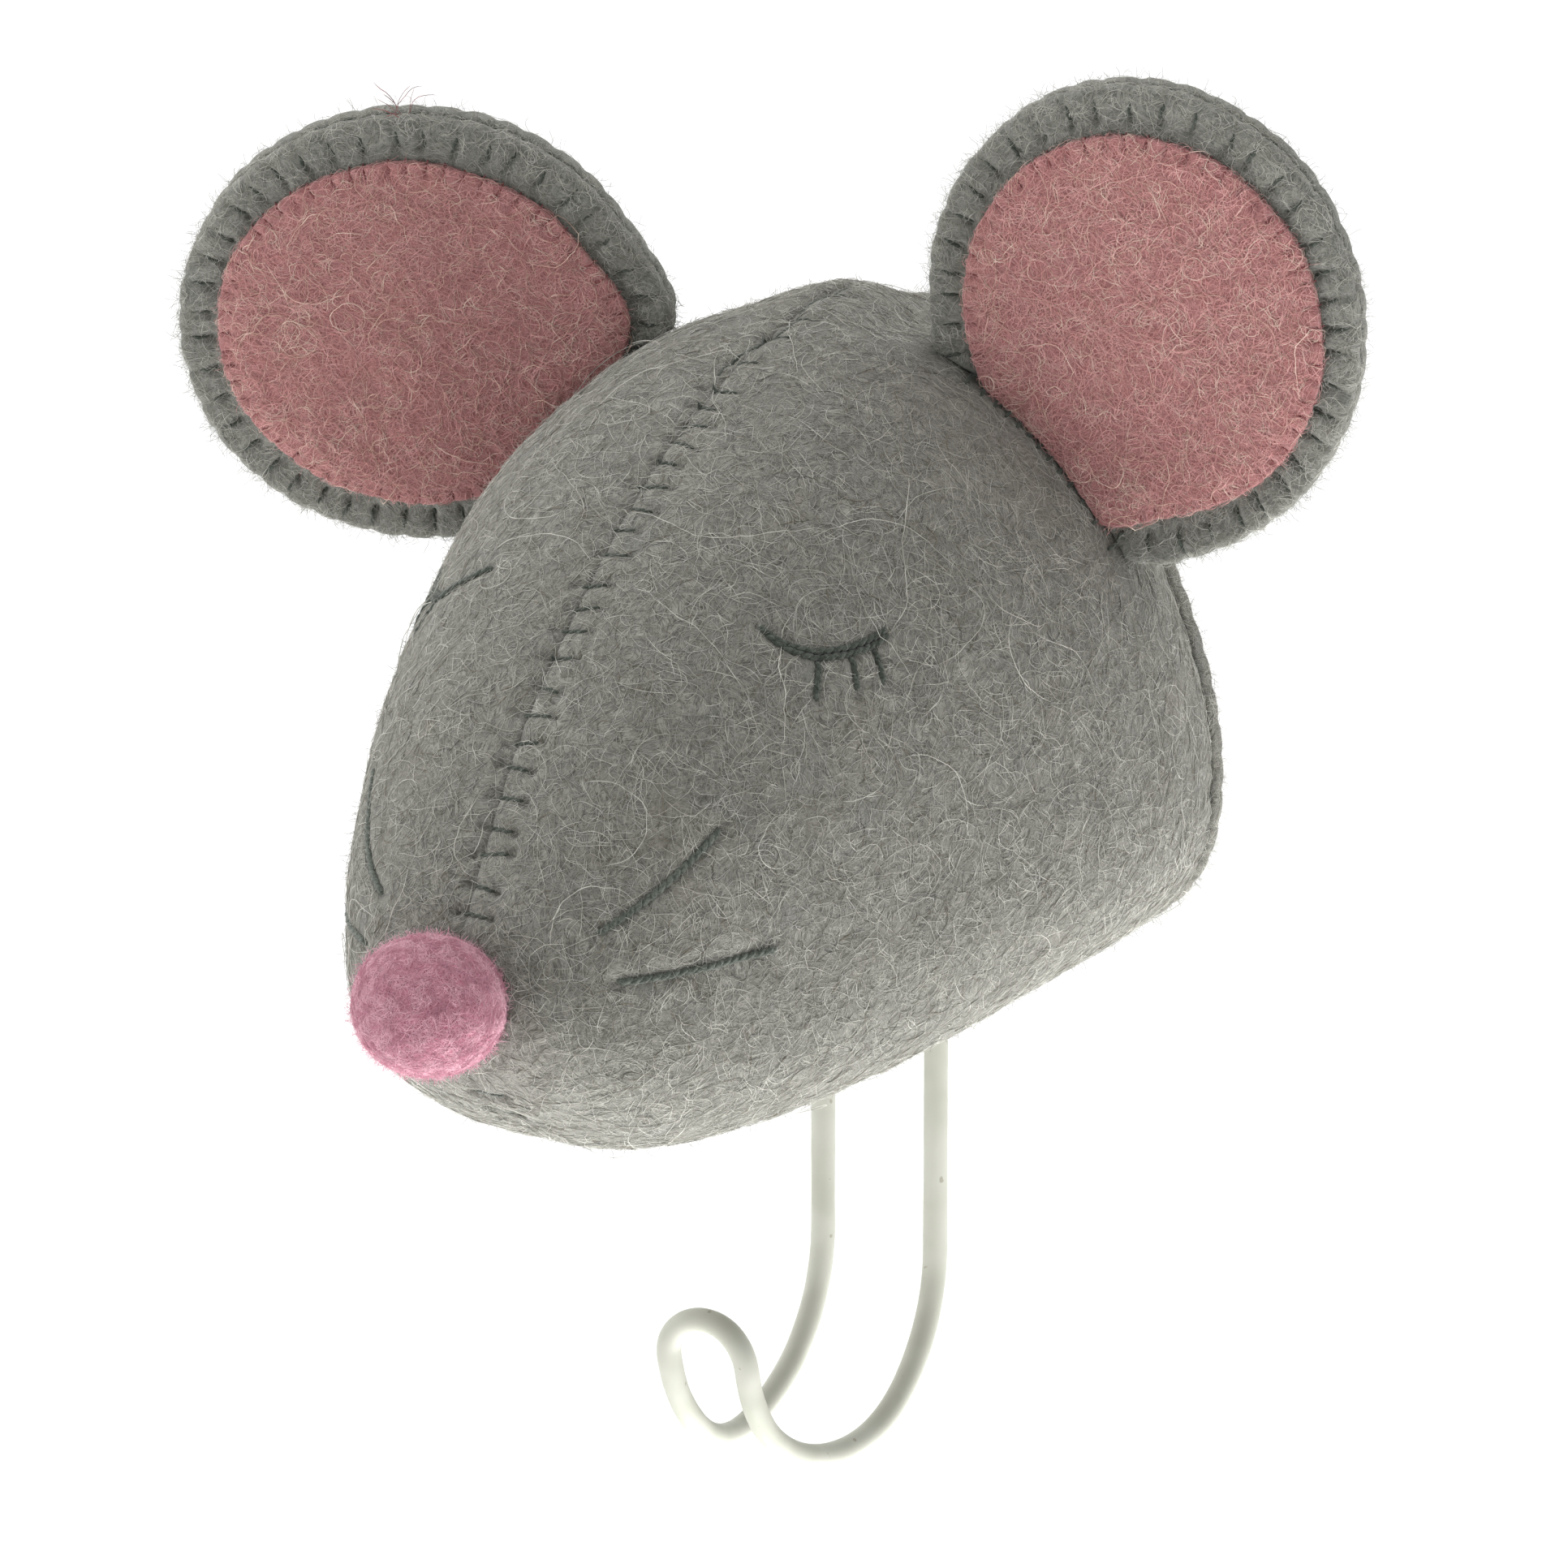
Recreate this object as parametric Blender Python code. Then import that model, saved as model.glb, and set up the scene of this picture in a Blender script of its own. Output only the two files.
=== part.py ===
"""Felt mouse head coat hook: a stuffed felt head on a wooden backboard, with a bent wire double hook.

Frame: metres, +Z up, the wall is the plane y = 0 and the mouse looks along -Y.
The origin is the middle of the felt face that rests on the wall. +X is the mouse's left side.
"""
import math

import bmesh
import bpy
import numpy as np
from mathutils import Matrix, Vector

MM = 0.001
GAP = 0.3 * MM                 # air between neighbouring pieces
FELT = 2.5 * MM                # wool felt, all grey layers
PINK_FELT = 1.5 * MM

# ---- head ---------------------------------------------------------------------------------
# Sections across the head from the wall to the tip of the muzzle, in millimetres:
# distance from the wall, top seam height, chin seam height, half width.
HEAD_SECTIONS = (
    (0.0, 35.5, -44.0, 42.0),
    (28.0, 40.0, -45.0, 45.0),
    (54.0, 32.5, -48.8, 38.5),
    (76.0, 17.2, -49.6, 30.3),
    (93.0, -1.5, -43.3, 22.5),
    (103.5, -19.3, -31.2, 11.9),
    (104.6, -24.3, -24.3, 0.0),
)
WIDEST_AT = (0.32, 0.42, 0.50)      # height of the widest line, as a share of the section: wall, middle, tip
CROWN_POWER = (1.68, 2.74)          # roundness of the upper half: wall, and from 60% of the length on
JAW_POWER = (2.67, 2.45)            # roundness of the lower half: wall, tip
RINGS = 16                          # sections in a modelled skin
RING_POINTS = 12                    # points round half a section

# ---- nose, a ball pressed into the tip of the muzzle -------------------------------------
NOSE_CENTRE = Vector((0.0, -108.8, -24.5)) * MM
NOSE_RADIUS = 8.9 * MM
NOSE_HEIGHT = 0.9                   # height over width
NOSE_GAP = 0.8 * MM

# ---- back: felt cover, wooden board, hanger plate ----------------------------------------
BOARD_BACK = -(FELT + GAP)
BOARD_FRONT = -8.3 * MM
BOARD_INSET = 3.3 * MM
STUFFING_BACK = BOARD_FRONT - GAP
PLATE_THICKNESS = 1.0 * MM
PLATE_HALF = (14.0 * MM, 10.0 * MM)
PLATE_Z = 15.0 * MM
KEY_Z = 11.0 * MM                   # middle of the keyhole's round part
KEY_RADIUS = 4.25 * MM
KEY_SLOT_HALF = 2.2 * MM
KEY_SLOT_TOP = 19.0 * MM
PLATE_SCREW_X = 10.5 * MM
COVER_CUTOUT_MARGIN = 1.0 * MM
BOARD_POCKET = ((-4.8 * MM, -7.2 * MM, 6.0 * MM), (4.8 * MM, 0.0, 21.5 * MM))

# ---- wire hook ---------------------------------------------------------------------------
WIRE_RADIUS = 1.4 * MM
WIRE_Y = BOARD_FRONT - GAP - WIRE_RADIUS
LEG_X = 8.2 * MM                    # half the distance between the two straight legs
LEG_TOP = 2.0 * MM
BEND_Z = -83.0 * MM                 # height of the centre of the J bend
BEND_RADIUS = 20.1 * MM
TIP_LOOP = 5.6 * MM                 # radius of the closed loop at the tip
TIP_RISE = 1.7 * MM                 # how far the loop rises past half a turn
TAPER_FROM, TAPER_TO = 60.0, 145.0  # degrees of the bend over which the wires close up
WIRE_HOLE = WIRE_RADIUS + 0.5 * MM

# ---- wire clips on the board -------------------------------------------------------------
CLIP_HEIGHTS = (-8.0 * MM, -32.0 * MM)
CLIP_THICKNESS = 1.0 * MM
CLIP_WIDTH = 8.0 * MM
CLIP_HUMP_X = 11.5 * MM
CLIP_FOOT_X = 21.0 * MM
CLIP_SCREW_X = 17.0 * MM
STUFFING_POCKET = ((-23.0 * MM, -14.0 * MM, -60.0 * MM), (23.0 * MM, -5.0 * MM, 6.0 * MM))

# ---- screws: head radius, head height, shank radius, where the shank ends -----------------
CLIP_SCREW = (3.0 * MM, 1.6 * MM, 1.5 * MM, -4.2 * MM)
HANGER_SCREW = (2.6 * MM, 0.9 * MM, 1.2 * MM, -7.0 * MM)
SCREW_HOLE_ROOM = 0.4 * MM          # between a shank and the hole in the clip or plate
PILOT_ROOM = 0.3 * MM               # between a shank and its hole in the board

# ---- ears --------------------------------------------------------------------------------
# Each is a round of felt cut where it meets the head: middle, facing, radius, direction to its base.
EARS = {
    "left": {"centre": (40.4, -16.6, 42.0), "facing": (0.218, -0.97, -0.111), "radius": 28.4,
             "base": (-0.619, -0.049, -0.784)},
    "right": {"centre": (-47.8, -38.0, 34.3), "facing": (0.41, -0.87, -0.26), "radius": 30.2,
              "base": (0.69, 0.495, -0.527)},
}
EAR_BASE_DISTANCE = 22.0 * MM       # from the middle of an ear to its sewn base
EAR_CLEARANCE = 1.0 * MM            # room between an ear's cut edge and the head, for bending
INNER_CLEARANCE = 3.0 * MM
INNER_MARGIN = 4.1 * MM             # grey rim left round the pink inner ear
EAR_SIDES = 36
BASE_FREE = 56.0                    # degrees each side of the base without edge stitches
BASE_THREAD_AHEAD = 6.4 * MM        # from the ear's middle plane to the thread along its base

# ---- thread ------------------------------------------------------------------------------
THREAD = 0.7 * MM
FINE_THREAD = 0.5 * MM
SEAM_STEP = 4.2 * MM                # between stitches on the top and chin seams
EDGE_STEP = 8.4 * MM                # every second stitch of the long edges
SEAM_STITCH = 3.6 * MM
EDGE_STITCH = 5.2 * MM              # from the wall to where a stitch of the back edge ends
EDGE_THREAD_DEPTH = 1.0 * MM        # from the wall to the thread round the back edge
RIM_STITCH = 3.0 * MM

# Closed eyes and whiskers, as (distance from the wall, height) in millimetres on the cheek. A lash runs from
# the numbered point of its lid to its own end.
EYES = {
    "left": {"lid": ((71.3, 14.6), (70.3, 12.6), (67.8, 11.3), (64.0, 11.2), (60.8, 11.7), (58.2, 12.6)),
             "lashes": ((2, (70.3, 6.1)), (3, (65.0, 6.4)), (4, (61.4, 6.6)))},
    "right": {"lid": ((73.6, 16.8), (73.4, 14.6), (72.6, 12.0), (69.4, 11.1), (65.6, 11.3), (61.8, 12.6)),
              "lashes": ((2, (75.2, 6.4)), (3, (70.3, 6.2)), (4, (66.0, 6.4)))},
}
WHISKERS = {
    "left": {"upper": ((97.3, -14.9), (85.2, -5.8)), "lower": ((98.2, -21.6), (79.6, -20.7))},
    "right": {"upper": ((100.4, -15.6), (87.4, -4.6)), "lower": ((102.2, -21.2), (83.6, -20.6))},
}

COLOURS = {
    "grey_felt": ((0.27, 0.27, 0.24), 0.95, 0.0),
    "pink_felt": ((0.50, 0.23, 0.24), 0.95, 0.0),
    "nose_wool": ((0.57, 0.18, 0.28), 0.95, 0.0),
    "dark_thread": ((0.09, 0.12, 0.10), 0.8, 0.0),
    "pink_thread": ((0.45, 0.16, 0.18), 0.8, 0.0),
    "coated_wire": ((0.68, 0.70, 0.62), 0.35, 0.0),
    "plywood": ((0.55, 0.40, 0.24), 0.7, 0.0),
    "plated_steel": ((0.6, 0.6, 0.6), 0.35, 1.0),
    "wadding": ((0.85, 0.84, 0.8), 0.95, 0.0),
}


# ---- scene helpers -------------------------------------------------------------------------
def clear_scene():
    for old in list(bpy.data.objects):
        bpy.data.objects.remove(old, do_unlink=True)


def material(name):
    found = bpy.data.materials.get(name)
    if found:
        return found
    colour, roughness, metallic = COLOURS[name]
    made = bpy.data.materials.new(name)
    made.use_nodes = True
    shader = made.node_tree.nodes["Principled BSDF"]
    shader.inputs["Base Color"].default_value = (*colour, 1.0)
    shader.inputs["Roughness"].default_value = roughness
    shader.inputs["Metallic"].default_value = metallic
    return made


def add_solid(name, verts, faces, slot, smooth=True):
    mesh = bpy.data.meshes.new(name)
    mesh.from_pydata([tuple(v) for v in verts], [], faces)
    tidy = bmesh.new()
    tidy.from_mesh(mesh)
    bmesh.ops.recalc_face_normals(tidy, faces=tidy.faces)
    tidy.to_mesh(mesh)
    tidy.free()
    if smooth:
        mesh.shade_smooth()
        mesh.set_sharp_from_angle(angle=math.radians(40))
    obj = bpy.data.objects.new(name, mesh)
    obj.data.materials.append(material(slot))
    bpy.context.scene.collection.objects.link(obj)
    return obj


def as_cutter(obj):
    obj.hide_render = True
    obj.display_type = "WIRE"
    return obj


def cut(obj, cutter):
    change = obj.modifiers.new("cut_" + cutter.name, "BOOLEAN")
    change.operation = "DIFFERENCE"
    change.solver = "EXACT"
    change.object = cutter


def box_solid(name, low, high, slot):
    corners = [(x, y, z) for x in (low[0], high[0]) for y in (low[1], high[1]) for z in (low[2], high[2])]
    faces = [(0, 1, 3, 2), (4, 6, 7, 5), (0, 4, 5, 1), (2, 3, 7, 6), (0, 2, 6, 4), (1, 5, 7, 3)]
    return add_solid(name, corners, faces, slot, smooth=False)


def disc_geometry(frame, radius, near, far, sides, chamfer=0.0):
    """A round plate in the frame's XY plane between two heights, with an optional chamfered rim."""
    levels = [(near, radius - chamfer), (near + chamfer, radius),
              (far - chamfer, radius), (far, radius - chamfer)]
    if chamfer == 0.0:
        levels = [(near, radius), (far, radius)]
    verts = []
    for height, size in levels:
        for k in range(sides):
            angle = 2 * math.pi * k / sides
            verts.append(frame @ Vector((size * math.cos(angle), size * math.sin(angle), height)))
    faces = [tuple(range(sides)), tuple(range((len(levels) - 1) * sides, len(levels) * sides))]
    for level in range(len(levels) - 1):
        for k in range(sides):
            a, b = level * sides + k, level * sides + (k + 1) % sides
            faces.append((a, b, b + sides, a + sides))
    return verts, faces


def along_y(x, z):
    """A frame whose own Z axis points along +Y."""
    return Matrix.Translation((x, 0.0, z)) @ Matrix.Rotation(-math.pi / 2, 4, "X")


def section(point, side, up, width):
    """Corners of a square thread: the two on the side's own hand first and last."""
    side, up = side * (width / 2), up * (width / 2)
    return [point + side + up, point - side + up, point - side - up, point + side - up]


def thread_geometry(run, width, closed=False):
    """One square-section thread with side stitches.

    run is a list of (point, normal, stitch): stitch is None, or the stitch's own (point, normal) places.
    """
    verts, faces, rings, toothed = [], [], [], set()
    h = width / 2
    for k, (point, normal, stitch) in enumerate(run):
        before = run[k - 1][0] if k or closed else point
        after = run[(k + 1) % len(run)][0] if k + 1 < len(run) or closed else point
        up = normal.normalized()
        along = after - before
        along = (along - up * along.dot(up)).normalized()
        side = along.cross(up)
        for place in ([point - along * h, point + along * h] if stitch else [point]):
            rings.append(len(verts))
            verts += section(place, side, up, width)
        if not stitch:
            continue
        a, b = rings[-2], rings[-1]
        if side.dot(stitch[0][0] - point) > 0:
            ring = [a, b, b + 3, a + 3]
            toothed.add((a, 3))
        else:
            ring = [a + 1, b + 1, b + 2, a + 2]
            toothed.add((a, 1))
        for place, place_up in stitch:
            lift = place_up.normalized() * h
            new = list(range(len(verts), len(verts) + 4))
            verts += [place - along * h + lift, place + along * h + lift,
                      place + along * h - lift, place - along * h - lift]
            faces += [(ring[c], ring[(c + 1) % 4], new[(c + 1) % 4], new[c]) for c in range(4)]
            ring = new
        faces.append(tuple(ring))
    pairs = list(zip(rings, rings[1:])) + ([(rings[-1], rings[0])] if closed else [])
    for a, b in pairs:
        faces += [(a + c, a + (c + 1) % 4, b + (c + 1) % 4, b + c) for c in range(4) if (a, c) not in toothed]
    if not closed:
        faces += [tuple(range(rings[0], rings[0] + 4)), tuple(range(rings[-1], rings[-1] + 4))]
    return verts, faces


def group_cutter(name, solids, slot):
    """A cutter made of several separate closed solids."""
    verts, faces = [], []
    for more_verts, more_faces in solids:
        start = len(verts)
        verts += more_verts
        faces += [tuple(i + start for i in face) for face in more_faces]
    return as_cutter(add_solid(name, verts, faces, slot, smooth=False))


# ---- head surface --------------------------------------------------------------------------
def cubic_bends(values):
    """Second derivatives of the smooth cubic curve through evenly spaced values."""
    n = len(values)
    matrix = np.zeros((n, n))
    right = np.zeros(n)
    for i in range(1, n - 1):
        matrix[i, i - 1:i + 2] = (1, 4, 1)
        right[i] = 6 * (values[i - 1] - 2 * values[i] + values[i + 1])
    matrix[0, :3] = (1, -2, 1)
    matrix[-1, -3:] = (1, -2, 1)
    return np.linalg.solve(matrix, right)


HEAD_COLUMNS = [np.array(column) * MM for column in zip(*HEAD_SECTIONS)]
HEAD_BENDS = [cubic_bends(column) for column in HEAD_COLUMNS]


def along_head(column, t):
    """One column of the section list at t, from 0 at the wall to 1 at the tip."""
    values, bends = HEAD_COLUMNS[column], HEAD_BENDS[column]
    s = min(max(t, 0.0), 1.0) * (len(values) - 1)
    i = min(int(s), len(values) - 2)
    b = s - i
    a = 1 - b
    curve = ((a ** 3 - a) * bends[i] + (b ** 3 - b) * bends[i + 1]) / 6
    return float(a * values[i] + b * values[i + 1] + curve)


def between(values, t, span=1.0):
    places = np.linspace(0, span, len(values))
    return float(np.interp(t, places, values))


def head_section(t):
    depth, top, bottom, half = (along_head(column, t) for column in range(4))
    middle = bottom + (top - bottom) * between(WIDEST_AT, t)
    return -depth, top, bottom, middle, half, between(CROWN_POWER, t, 0.6), between(JAW_POWER, t)


def skin_point(t, angle):
    """A point of the head's outer surface: angle 90 degrees is the top seam, -90 the chin seam."""
    y, top, bottom, middle, half, crown, jaw = head_section(t)
    c, s = math.cos(angle), math.sin(angle)
    power, reach = (crown, top - middle) if s > 0 else (jaw, bottom - middle)
    x = half * math.copysign(abs(c) ** (2 / power), c)
    return Vector((x, y, middle + reach * abs(s) ** (2 / power)))


def skin_normal(t, angle):
    e = 0.004
    t = min(max(t, 2 * e), 1 - e)
    around = skin_point(t, angle + e) - skin_point(t, angle - e)
    along = skin_point(t + e, angle) - skin_point(t - e, angle)
    normal = along.cross(around).normalized()
    outward = skin_point(t, angle) - Vector((0, skin_point(t, angle).y + 0.01, -0.01))
    return normal if normal.dot(outward) > 0 else -normal


def dented(point, extra):
    """Push a point back to the bowl that the nose presses into the muzzle."""
    radius = NOSE_RADIUS + NOSE_GAP + extra
    flat = Vector((point.x - NOSE_CENTRE.x, 0, (point.z - NOSE_CENTRE.z) / NOSE_HEIGHT))
    if flat.length >= radius:
        return point
    bowl = NOSE_CENTRE.y + math.sqrt(radius ** 2 - flat.length ** 2)
    return Vector((point.x, max(point.y, bowl), point.z))


def grown(t, angle, grow):
    """The outer surface moved along its normal, with the nose's dent in it."""
    return dented(skin_point(t, angle) + skin_normal(t, angle) * grow, max(-grow, 0.0))


def t_at_depth(depth):
    low, high = 0.0, 1.0
    for _ in range(40):
        middle = (low + high) / 2
        low, high = (middle, high) if along_head(0, middle) < depth else (low, middle)
    return low


def grown_at_wall_distance(y, angle, grow):
    """The point of the grown surface in the plane y, near the wall."""
    low, high = 0.0, 0.4
    for _ in range(30):
        middle = (low + high) / 2
        low, high = (middle, high) if grown(middle, angle, grow).y > y else (low, middle)
    point = grown(low, angle, grow)
    point.y = y
    return point


def angle_at_height(t, z):
    """The section angle on the +X side where the surface is at height z."""
    _, top, bottom, middle, _, crown, jaw = head_section(t)
    power, reach = (crown, top - middle) if z > middle else (jaw, middle - bottom)
    share = min(abs(z - middle) / reach, 1.0)
    angle = math.asin(share ** (power / 2))
    return angle if z > middle else -angle


def section_places(first):
    """Section parameters from first to near the tip, the same for every skin past the stuffing's back."""
    inner = t_at_depth(-STUFFING_BACK)
    rest = [inner + (1 - inner) * (1 - (1 - k / RINGS) ** 1.25) for k in range(RINGS)]
    return [first] * (first < inner) + rest


def half_skin(name, side):
    """One side panel of the head, a felt shell from the top seam round the cheek to the chin seam."""
    places = section_places(t_at_depth(-BOARD_BACK))
    angles = [math.pi / 2 - math.pi * k / RING_POINTS for k in range(RING_POINTS + 1)]
    verts, faces = [], []
    for grow in (0.0, -FELT):
        for row, t in enumerate(places):
            for angle in angles:
                point = grown(t, angle, grow) if row else grown_at_wall_distance(BOARD_BACK, angle, grow)
                verts.append(Vector((side * max(point.x, GAP / 2), min(point.y, BOARD_BACK), point.z)))
        tip = dented(skin_point(1.0, 0.0), -grow)
        verts.append(Vector((side * GAP / 2, tip.y, tip.z)))
    rings, wide = len(places), len(angles)
    layer = rings * wide + 1
    for base in (0, layer):
        for i in range(rings - 1):
            for j in range(wide - 1):
                a = base + i * wide + j
                faces.append((a, a + 1, a + wide + 1, a + wide))
        last, tip = base + (rings - 1) * wide, base + layer - 1
        faces += [(last + j, last + j + 1, tip) for j in range(wide - 1)]
    faces += [(j, j + 1, j + 1 + layer, j + layer) for j in range(wide - 1)]
    for j in (0, wide - 1):
        edge = [i * wide + j for i in range(rings)] + [layer - 1]
        faces += [(a, b, b + layer, a + layer) for a, b in zip(edge, edge[1:])]
    return add_solid(name, verts, faces, "grey_felt")


def full_body(name, grow, back_y, slot):
    """A closed form of the whole head, grown or shrunk, with a flat back."""
    places = section_places(t_at_depth(max(-back_y, 0.0)))
    count = 2 * RING_POINTS
    verts, faces = [], []
    for row, t in enumerate(places):
        for k in range(count):
            angle = 2 * math.pi * k / count
            verts.append(grown(t, angle, grow) if row else grown_at_wall_distance(back_y, angle, grow))
    verts.append(dented(skin_point(1.0, 0.0) + Vector((0, -grow, 0)), max(-grow, 0.0)))
    for i in range(len(places) - 1):
        for k in range(count):
            a, b = i * count + k, i * count + (k + 1) % count
            faces.append((a, b, b + count, a + count))
    last, tip = (len(places) - 1) * count, len(verts) - 1
    faces += [(last + k, last + (k + 1) % count, tip) for k in range(count)]
    faces.append(tuple(range(count)))
    return add_solid(name, verts, faces, slot)


def outline_plate(name, inset, near_y, far_y, slot):
    """A flat plate with the outline of the head's back."""
    count = 4 * RING_POINTS
    ring = [grown_at_wall_distance(BOARD_BACK, 2 * math.pi * k / count, -inset) for k in range(count)]
    verts = [Vector((p.x, y, p.z)) for y in (near_y, far_y) for p in ring]
    faces = [tuple(range(count)), tuple(range(count, 2 * count))]
    faces += [(k, (k + 1) % count, (k + 1) % count + count, k + count) for k in range(count)]
    return add_solid(name, verts, faces, slot)


# ---- hook ----------------------------------------------------------------------------------
def smooth_step(value):
    value = min(max(value, 0.0), 1.0)
    return value * value * (3 - 2 * value)


def bend_place(run):
    """Y and Z of the wire a distance run along the J bend, and half the distance between the wires."""
    turn = min(run / BEND_RADIUS, math.pi)
    rise = max(run - math.pi * BEND_RADIUS, 0.0)
    y = WIRE_Y - BEND_RADIUS * (1 - math.cos(turn))
    z = BEND_Z - BEND_RADIUS * math.sin(turn) + rise
    close = smooth_step((math.degrees(turn) - TAPER_FROM) / (TAPER_TO - TAPER_FROM))
    return y, z, LEG_X + (TIP_LOOP - LEG_X) * close


def hook_route():
    """Centre line of the one wire: down the left leg, round the bend, round the tip and back."""
    loop_start = math.pi * BEND_RADIUS + TIP_RISE - TIP_LOOP
    half = [Vector((LEG_X, WIRE_Y, z)) for z in (LEG_TOP, -40 * MM, BEND_Z + 6 * MM, BEND_Z + 2 * MM)]
    steps = 22
    for k in range(steps + 1):
        y, z, x = bend_place(loop_start * k / steps)
        half.append(Vector((x, y, z)))
    for degrees in (20, 40, 60, 80):
        y, z, _ = bend_place(loop_start + TIP_LOOP * math.sin(math.radians(degrees)))
        half.append(Vector((TIP_LOOP * math.cos(math.radians(degrees)), y, z)))
    return half + [Vector((-p.x, p.y, p.z)) for p in reversed(half)]


def wire_hook():
    curve = bpy.data.curves.new("wire_hook", "CURVE")
    curve.dimensions = "3D"
    curve.bevel_depth = WIRE_RADIUS
    curve.bevel_resolution = 2
    curve.use_fill_caps = True
    route = hook_route()
    spline = curve.splines.new("POLY")
    spline.points.add(len(route) - 1)
    for point, place in zip(spline.points, route):
        point.co = (*place, 1.0)
    obj = bpy.data.objects.new("wire_hook", curve)
    obj.data.materials.append(material("coated_wire"))
    bpy.context.scene.collection.objects.link(obj)


# ---- board, clips and hanger ---------------------------------------------------------------
def cylinder_geometry(x, z, radius, y_near, y_far, sides=16):
    return disc_geometry(along_y(x, z), radius, y_near, y_far, sides)


def screw_geometry(x, z, head_y, sizes, facing):
    """A pan-head screw along Y as one turned profile; facing is +1 when the head looks along +Y."""
    head_radius, head_height, shank_radius, shank_end = sizes
    profile = [(head_y + facing * head_height, head_radius * 0.6),
               (head_y + facing * head_height * 0.6, head_radius),
               (head_y, head_radius), (head_y, shank_radius), (shank_end, shank_radius)]
    sides = 12
    verts, faces = [], []
    for y, radius in profile:
        for k in range(sides):
            angle = 2 * math.pi * k / sides
            verts.append(Vector((x + radius * math.cos(angle), y, z + radius * math.sin(angle))))
    for level in range(len(profile) - 1):
        for k in range(sides):
            a, b = level * sides + k, level * sides + (k + 1) % sides
            faces.append((a, b, b + sides, a + sides))
    faces += [tuple(range(sides)), tuple(range((len(profile) - 1) * sides, len(profile) * sides))]
    return verts, faces


def clip_solid(name, z):
    """A strap over both wires with a screwed foot at each end, extruded from its outline."""
    foot = BOARD_FRONT - GAP
    top = WIRE_Y - WIRE_RADIUS - GAP
    t = CLIP_THICKNESS
    inner = [(-CLIP_FOOT_X, foot), (-CLIP_HUMP_X, foot), (-CLIP_HUMP_X + t, top), (CLIP_HUMP_X - t, top),
             (CLIP_HUMP_X, foot), (CLIP_FOOT_X, foot)]
    outer = [(CLIP_FOOT_X, foot - t), (CLIP_HUMP_X + t, foot - t), (CLIP_HUMP_X, top - t),
             (-CLIP_HUMP_X, top - t), (-CLIP_HUMP_X - t, foot - t), (-CLIP_FOOT_X, foot - t)]
    outline = inner + outer
    count = len(outline)
    verts = [Vector((x, y, z + dz)) for dz in (-CLIP_WIDTH / 2, CLIP_WIDTH / 2) for x, y in outline]
    faces = [tuple(range(count)), tuple(range(count, 2 * count))]
    faces += [(k, (k + 1) % count, (k + 1) % count + count, k + count) for k in range(count)]
    clip = add_solid(name, verts, faces, "plated_steel", smooth=False)
    hole = CLIP_SCREW[2] + SCREW_HOLE_ROOM
    holes = [cylinder_geometry(x, z, hole, -12 * MM, -6 * MM) for x in (-CLIP_SCREW_X, CLIP_SCREW_X)]
    cut(clip, group_cutter(name + "_holes", holes, "plated_steel"))


def clips_and_screws():
    for number, z in enumerate(CLIP_HEIGHTS, start=1):
        clip_solid(f"wire_clip_{number}", z)
    head_y = BOARD_FRONT - GAP - CLIP_THICKNESS - GAP
    places = [(x, z) for z in CLIP_HEIGHTS for x in (-CLIP_SCREW_X, CLIP_SCREW_X)]
    for number, (x, z) in enumerate(places, start=1):
        geometry = screw_geometry(x, z, head_y, CLIP_SCREW, -1)
        add_solid(f"clip_screw_{number}", *geometry, "plated_steel")


def keyhole_outline():
    """The keyhole's outline in X and Z: a round hole with a slot running up from it."""
    radius, half, top = KEY_RADIUS, KEY_SLOT_HALF, KEY_SLOT_TOP
    start = math.asin(half / radius)
    count = 18
    hole = [start + (2 * math.pi - 2 * start) * k / count for k in range(count + 1)]
    points = [(radius * math.sin(a), KEY_Z + radius * math.cos(a)) for a in hole]
    arc = [math.pi * k / 6 for k in range(7)]
    points += [(-half * math.cos(a), top - half + half * math.sin(a)) for a in arc]
    return points


def hanger_plate():
    near, far = BOARD_BACK + GAP, BOARD_BACK + GAP + PLATE_THICKNESS
    half_x, half_z = PLATE_HALF
    plate = box_solid("hanger_plate", (-half_x, near, PLATE_Z - half_z), (half_x, far, PLATE_Z + half_z),
                      "plated_steel")
    outline = keyhole_outline()
    count = len(outline)
    verts = [Vector((x, y, z)) for y in (near - 1 * MM, far + 1 * MM) for x, z in outline]
    faces = [tuple(range(count)), tuple(range(count, 2 * count))]
    faces += [(k, (k + 1) % count, (k + 1) % count + count, k + count) for k in range(count)]
    holes = [cylinder_geometry(x, PLATE_Z, HANGER_SCREW[2] + SCREW_HOLE_ROOM, near - MM, far + MM)
             for x in (-PLATE_SCREW_X, PLATE_SCREW_X)]
    cut(plate, group_cutter("hanger_plate_holes", [(verts, faces)] + holes, "plated_steel"))
    for number, x in enumerate((-PLATE_SCREW_X, PLATE_SCREW_X), start=1):
        geometry = screw_geometry(x, PLATE_Z, far + GAP, HANGER_SCREW, 1)
        add_solid(f"hanger_screw_{number}", *geometry, "plated_steel")


def backboard():
    board = outline_plate("backboard", BOARD_INSET, BOARD_BACK, BOARD_FRONT, "plywood")
    holes = [cylinder_geometry(x, z, CLIP_SCREW[2] + PILOT_ROOM, -12 * MM, -3.8 * MM)
             for z in CLIP_HEIGHTS for x in (-CLIP_SCREW_X, CLIP_SCREW_X)]
    holes += [cylinder_geometry(x, PLATE_Z, HANGER_SCREW[2] + PILOT_ROOM, -7.4 * MM, 0.0)
              for x in (-PLATE_SCREW_X, PLATE_SCREW_X)]
    cut(board, group_cutter("backboard_holes", holes, "plywood"))
    cut(board, as_cutter(box_solid("backboard_pocket", *BOARD_POCKET, "plywood")))


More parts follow.
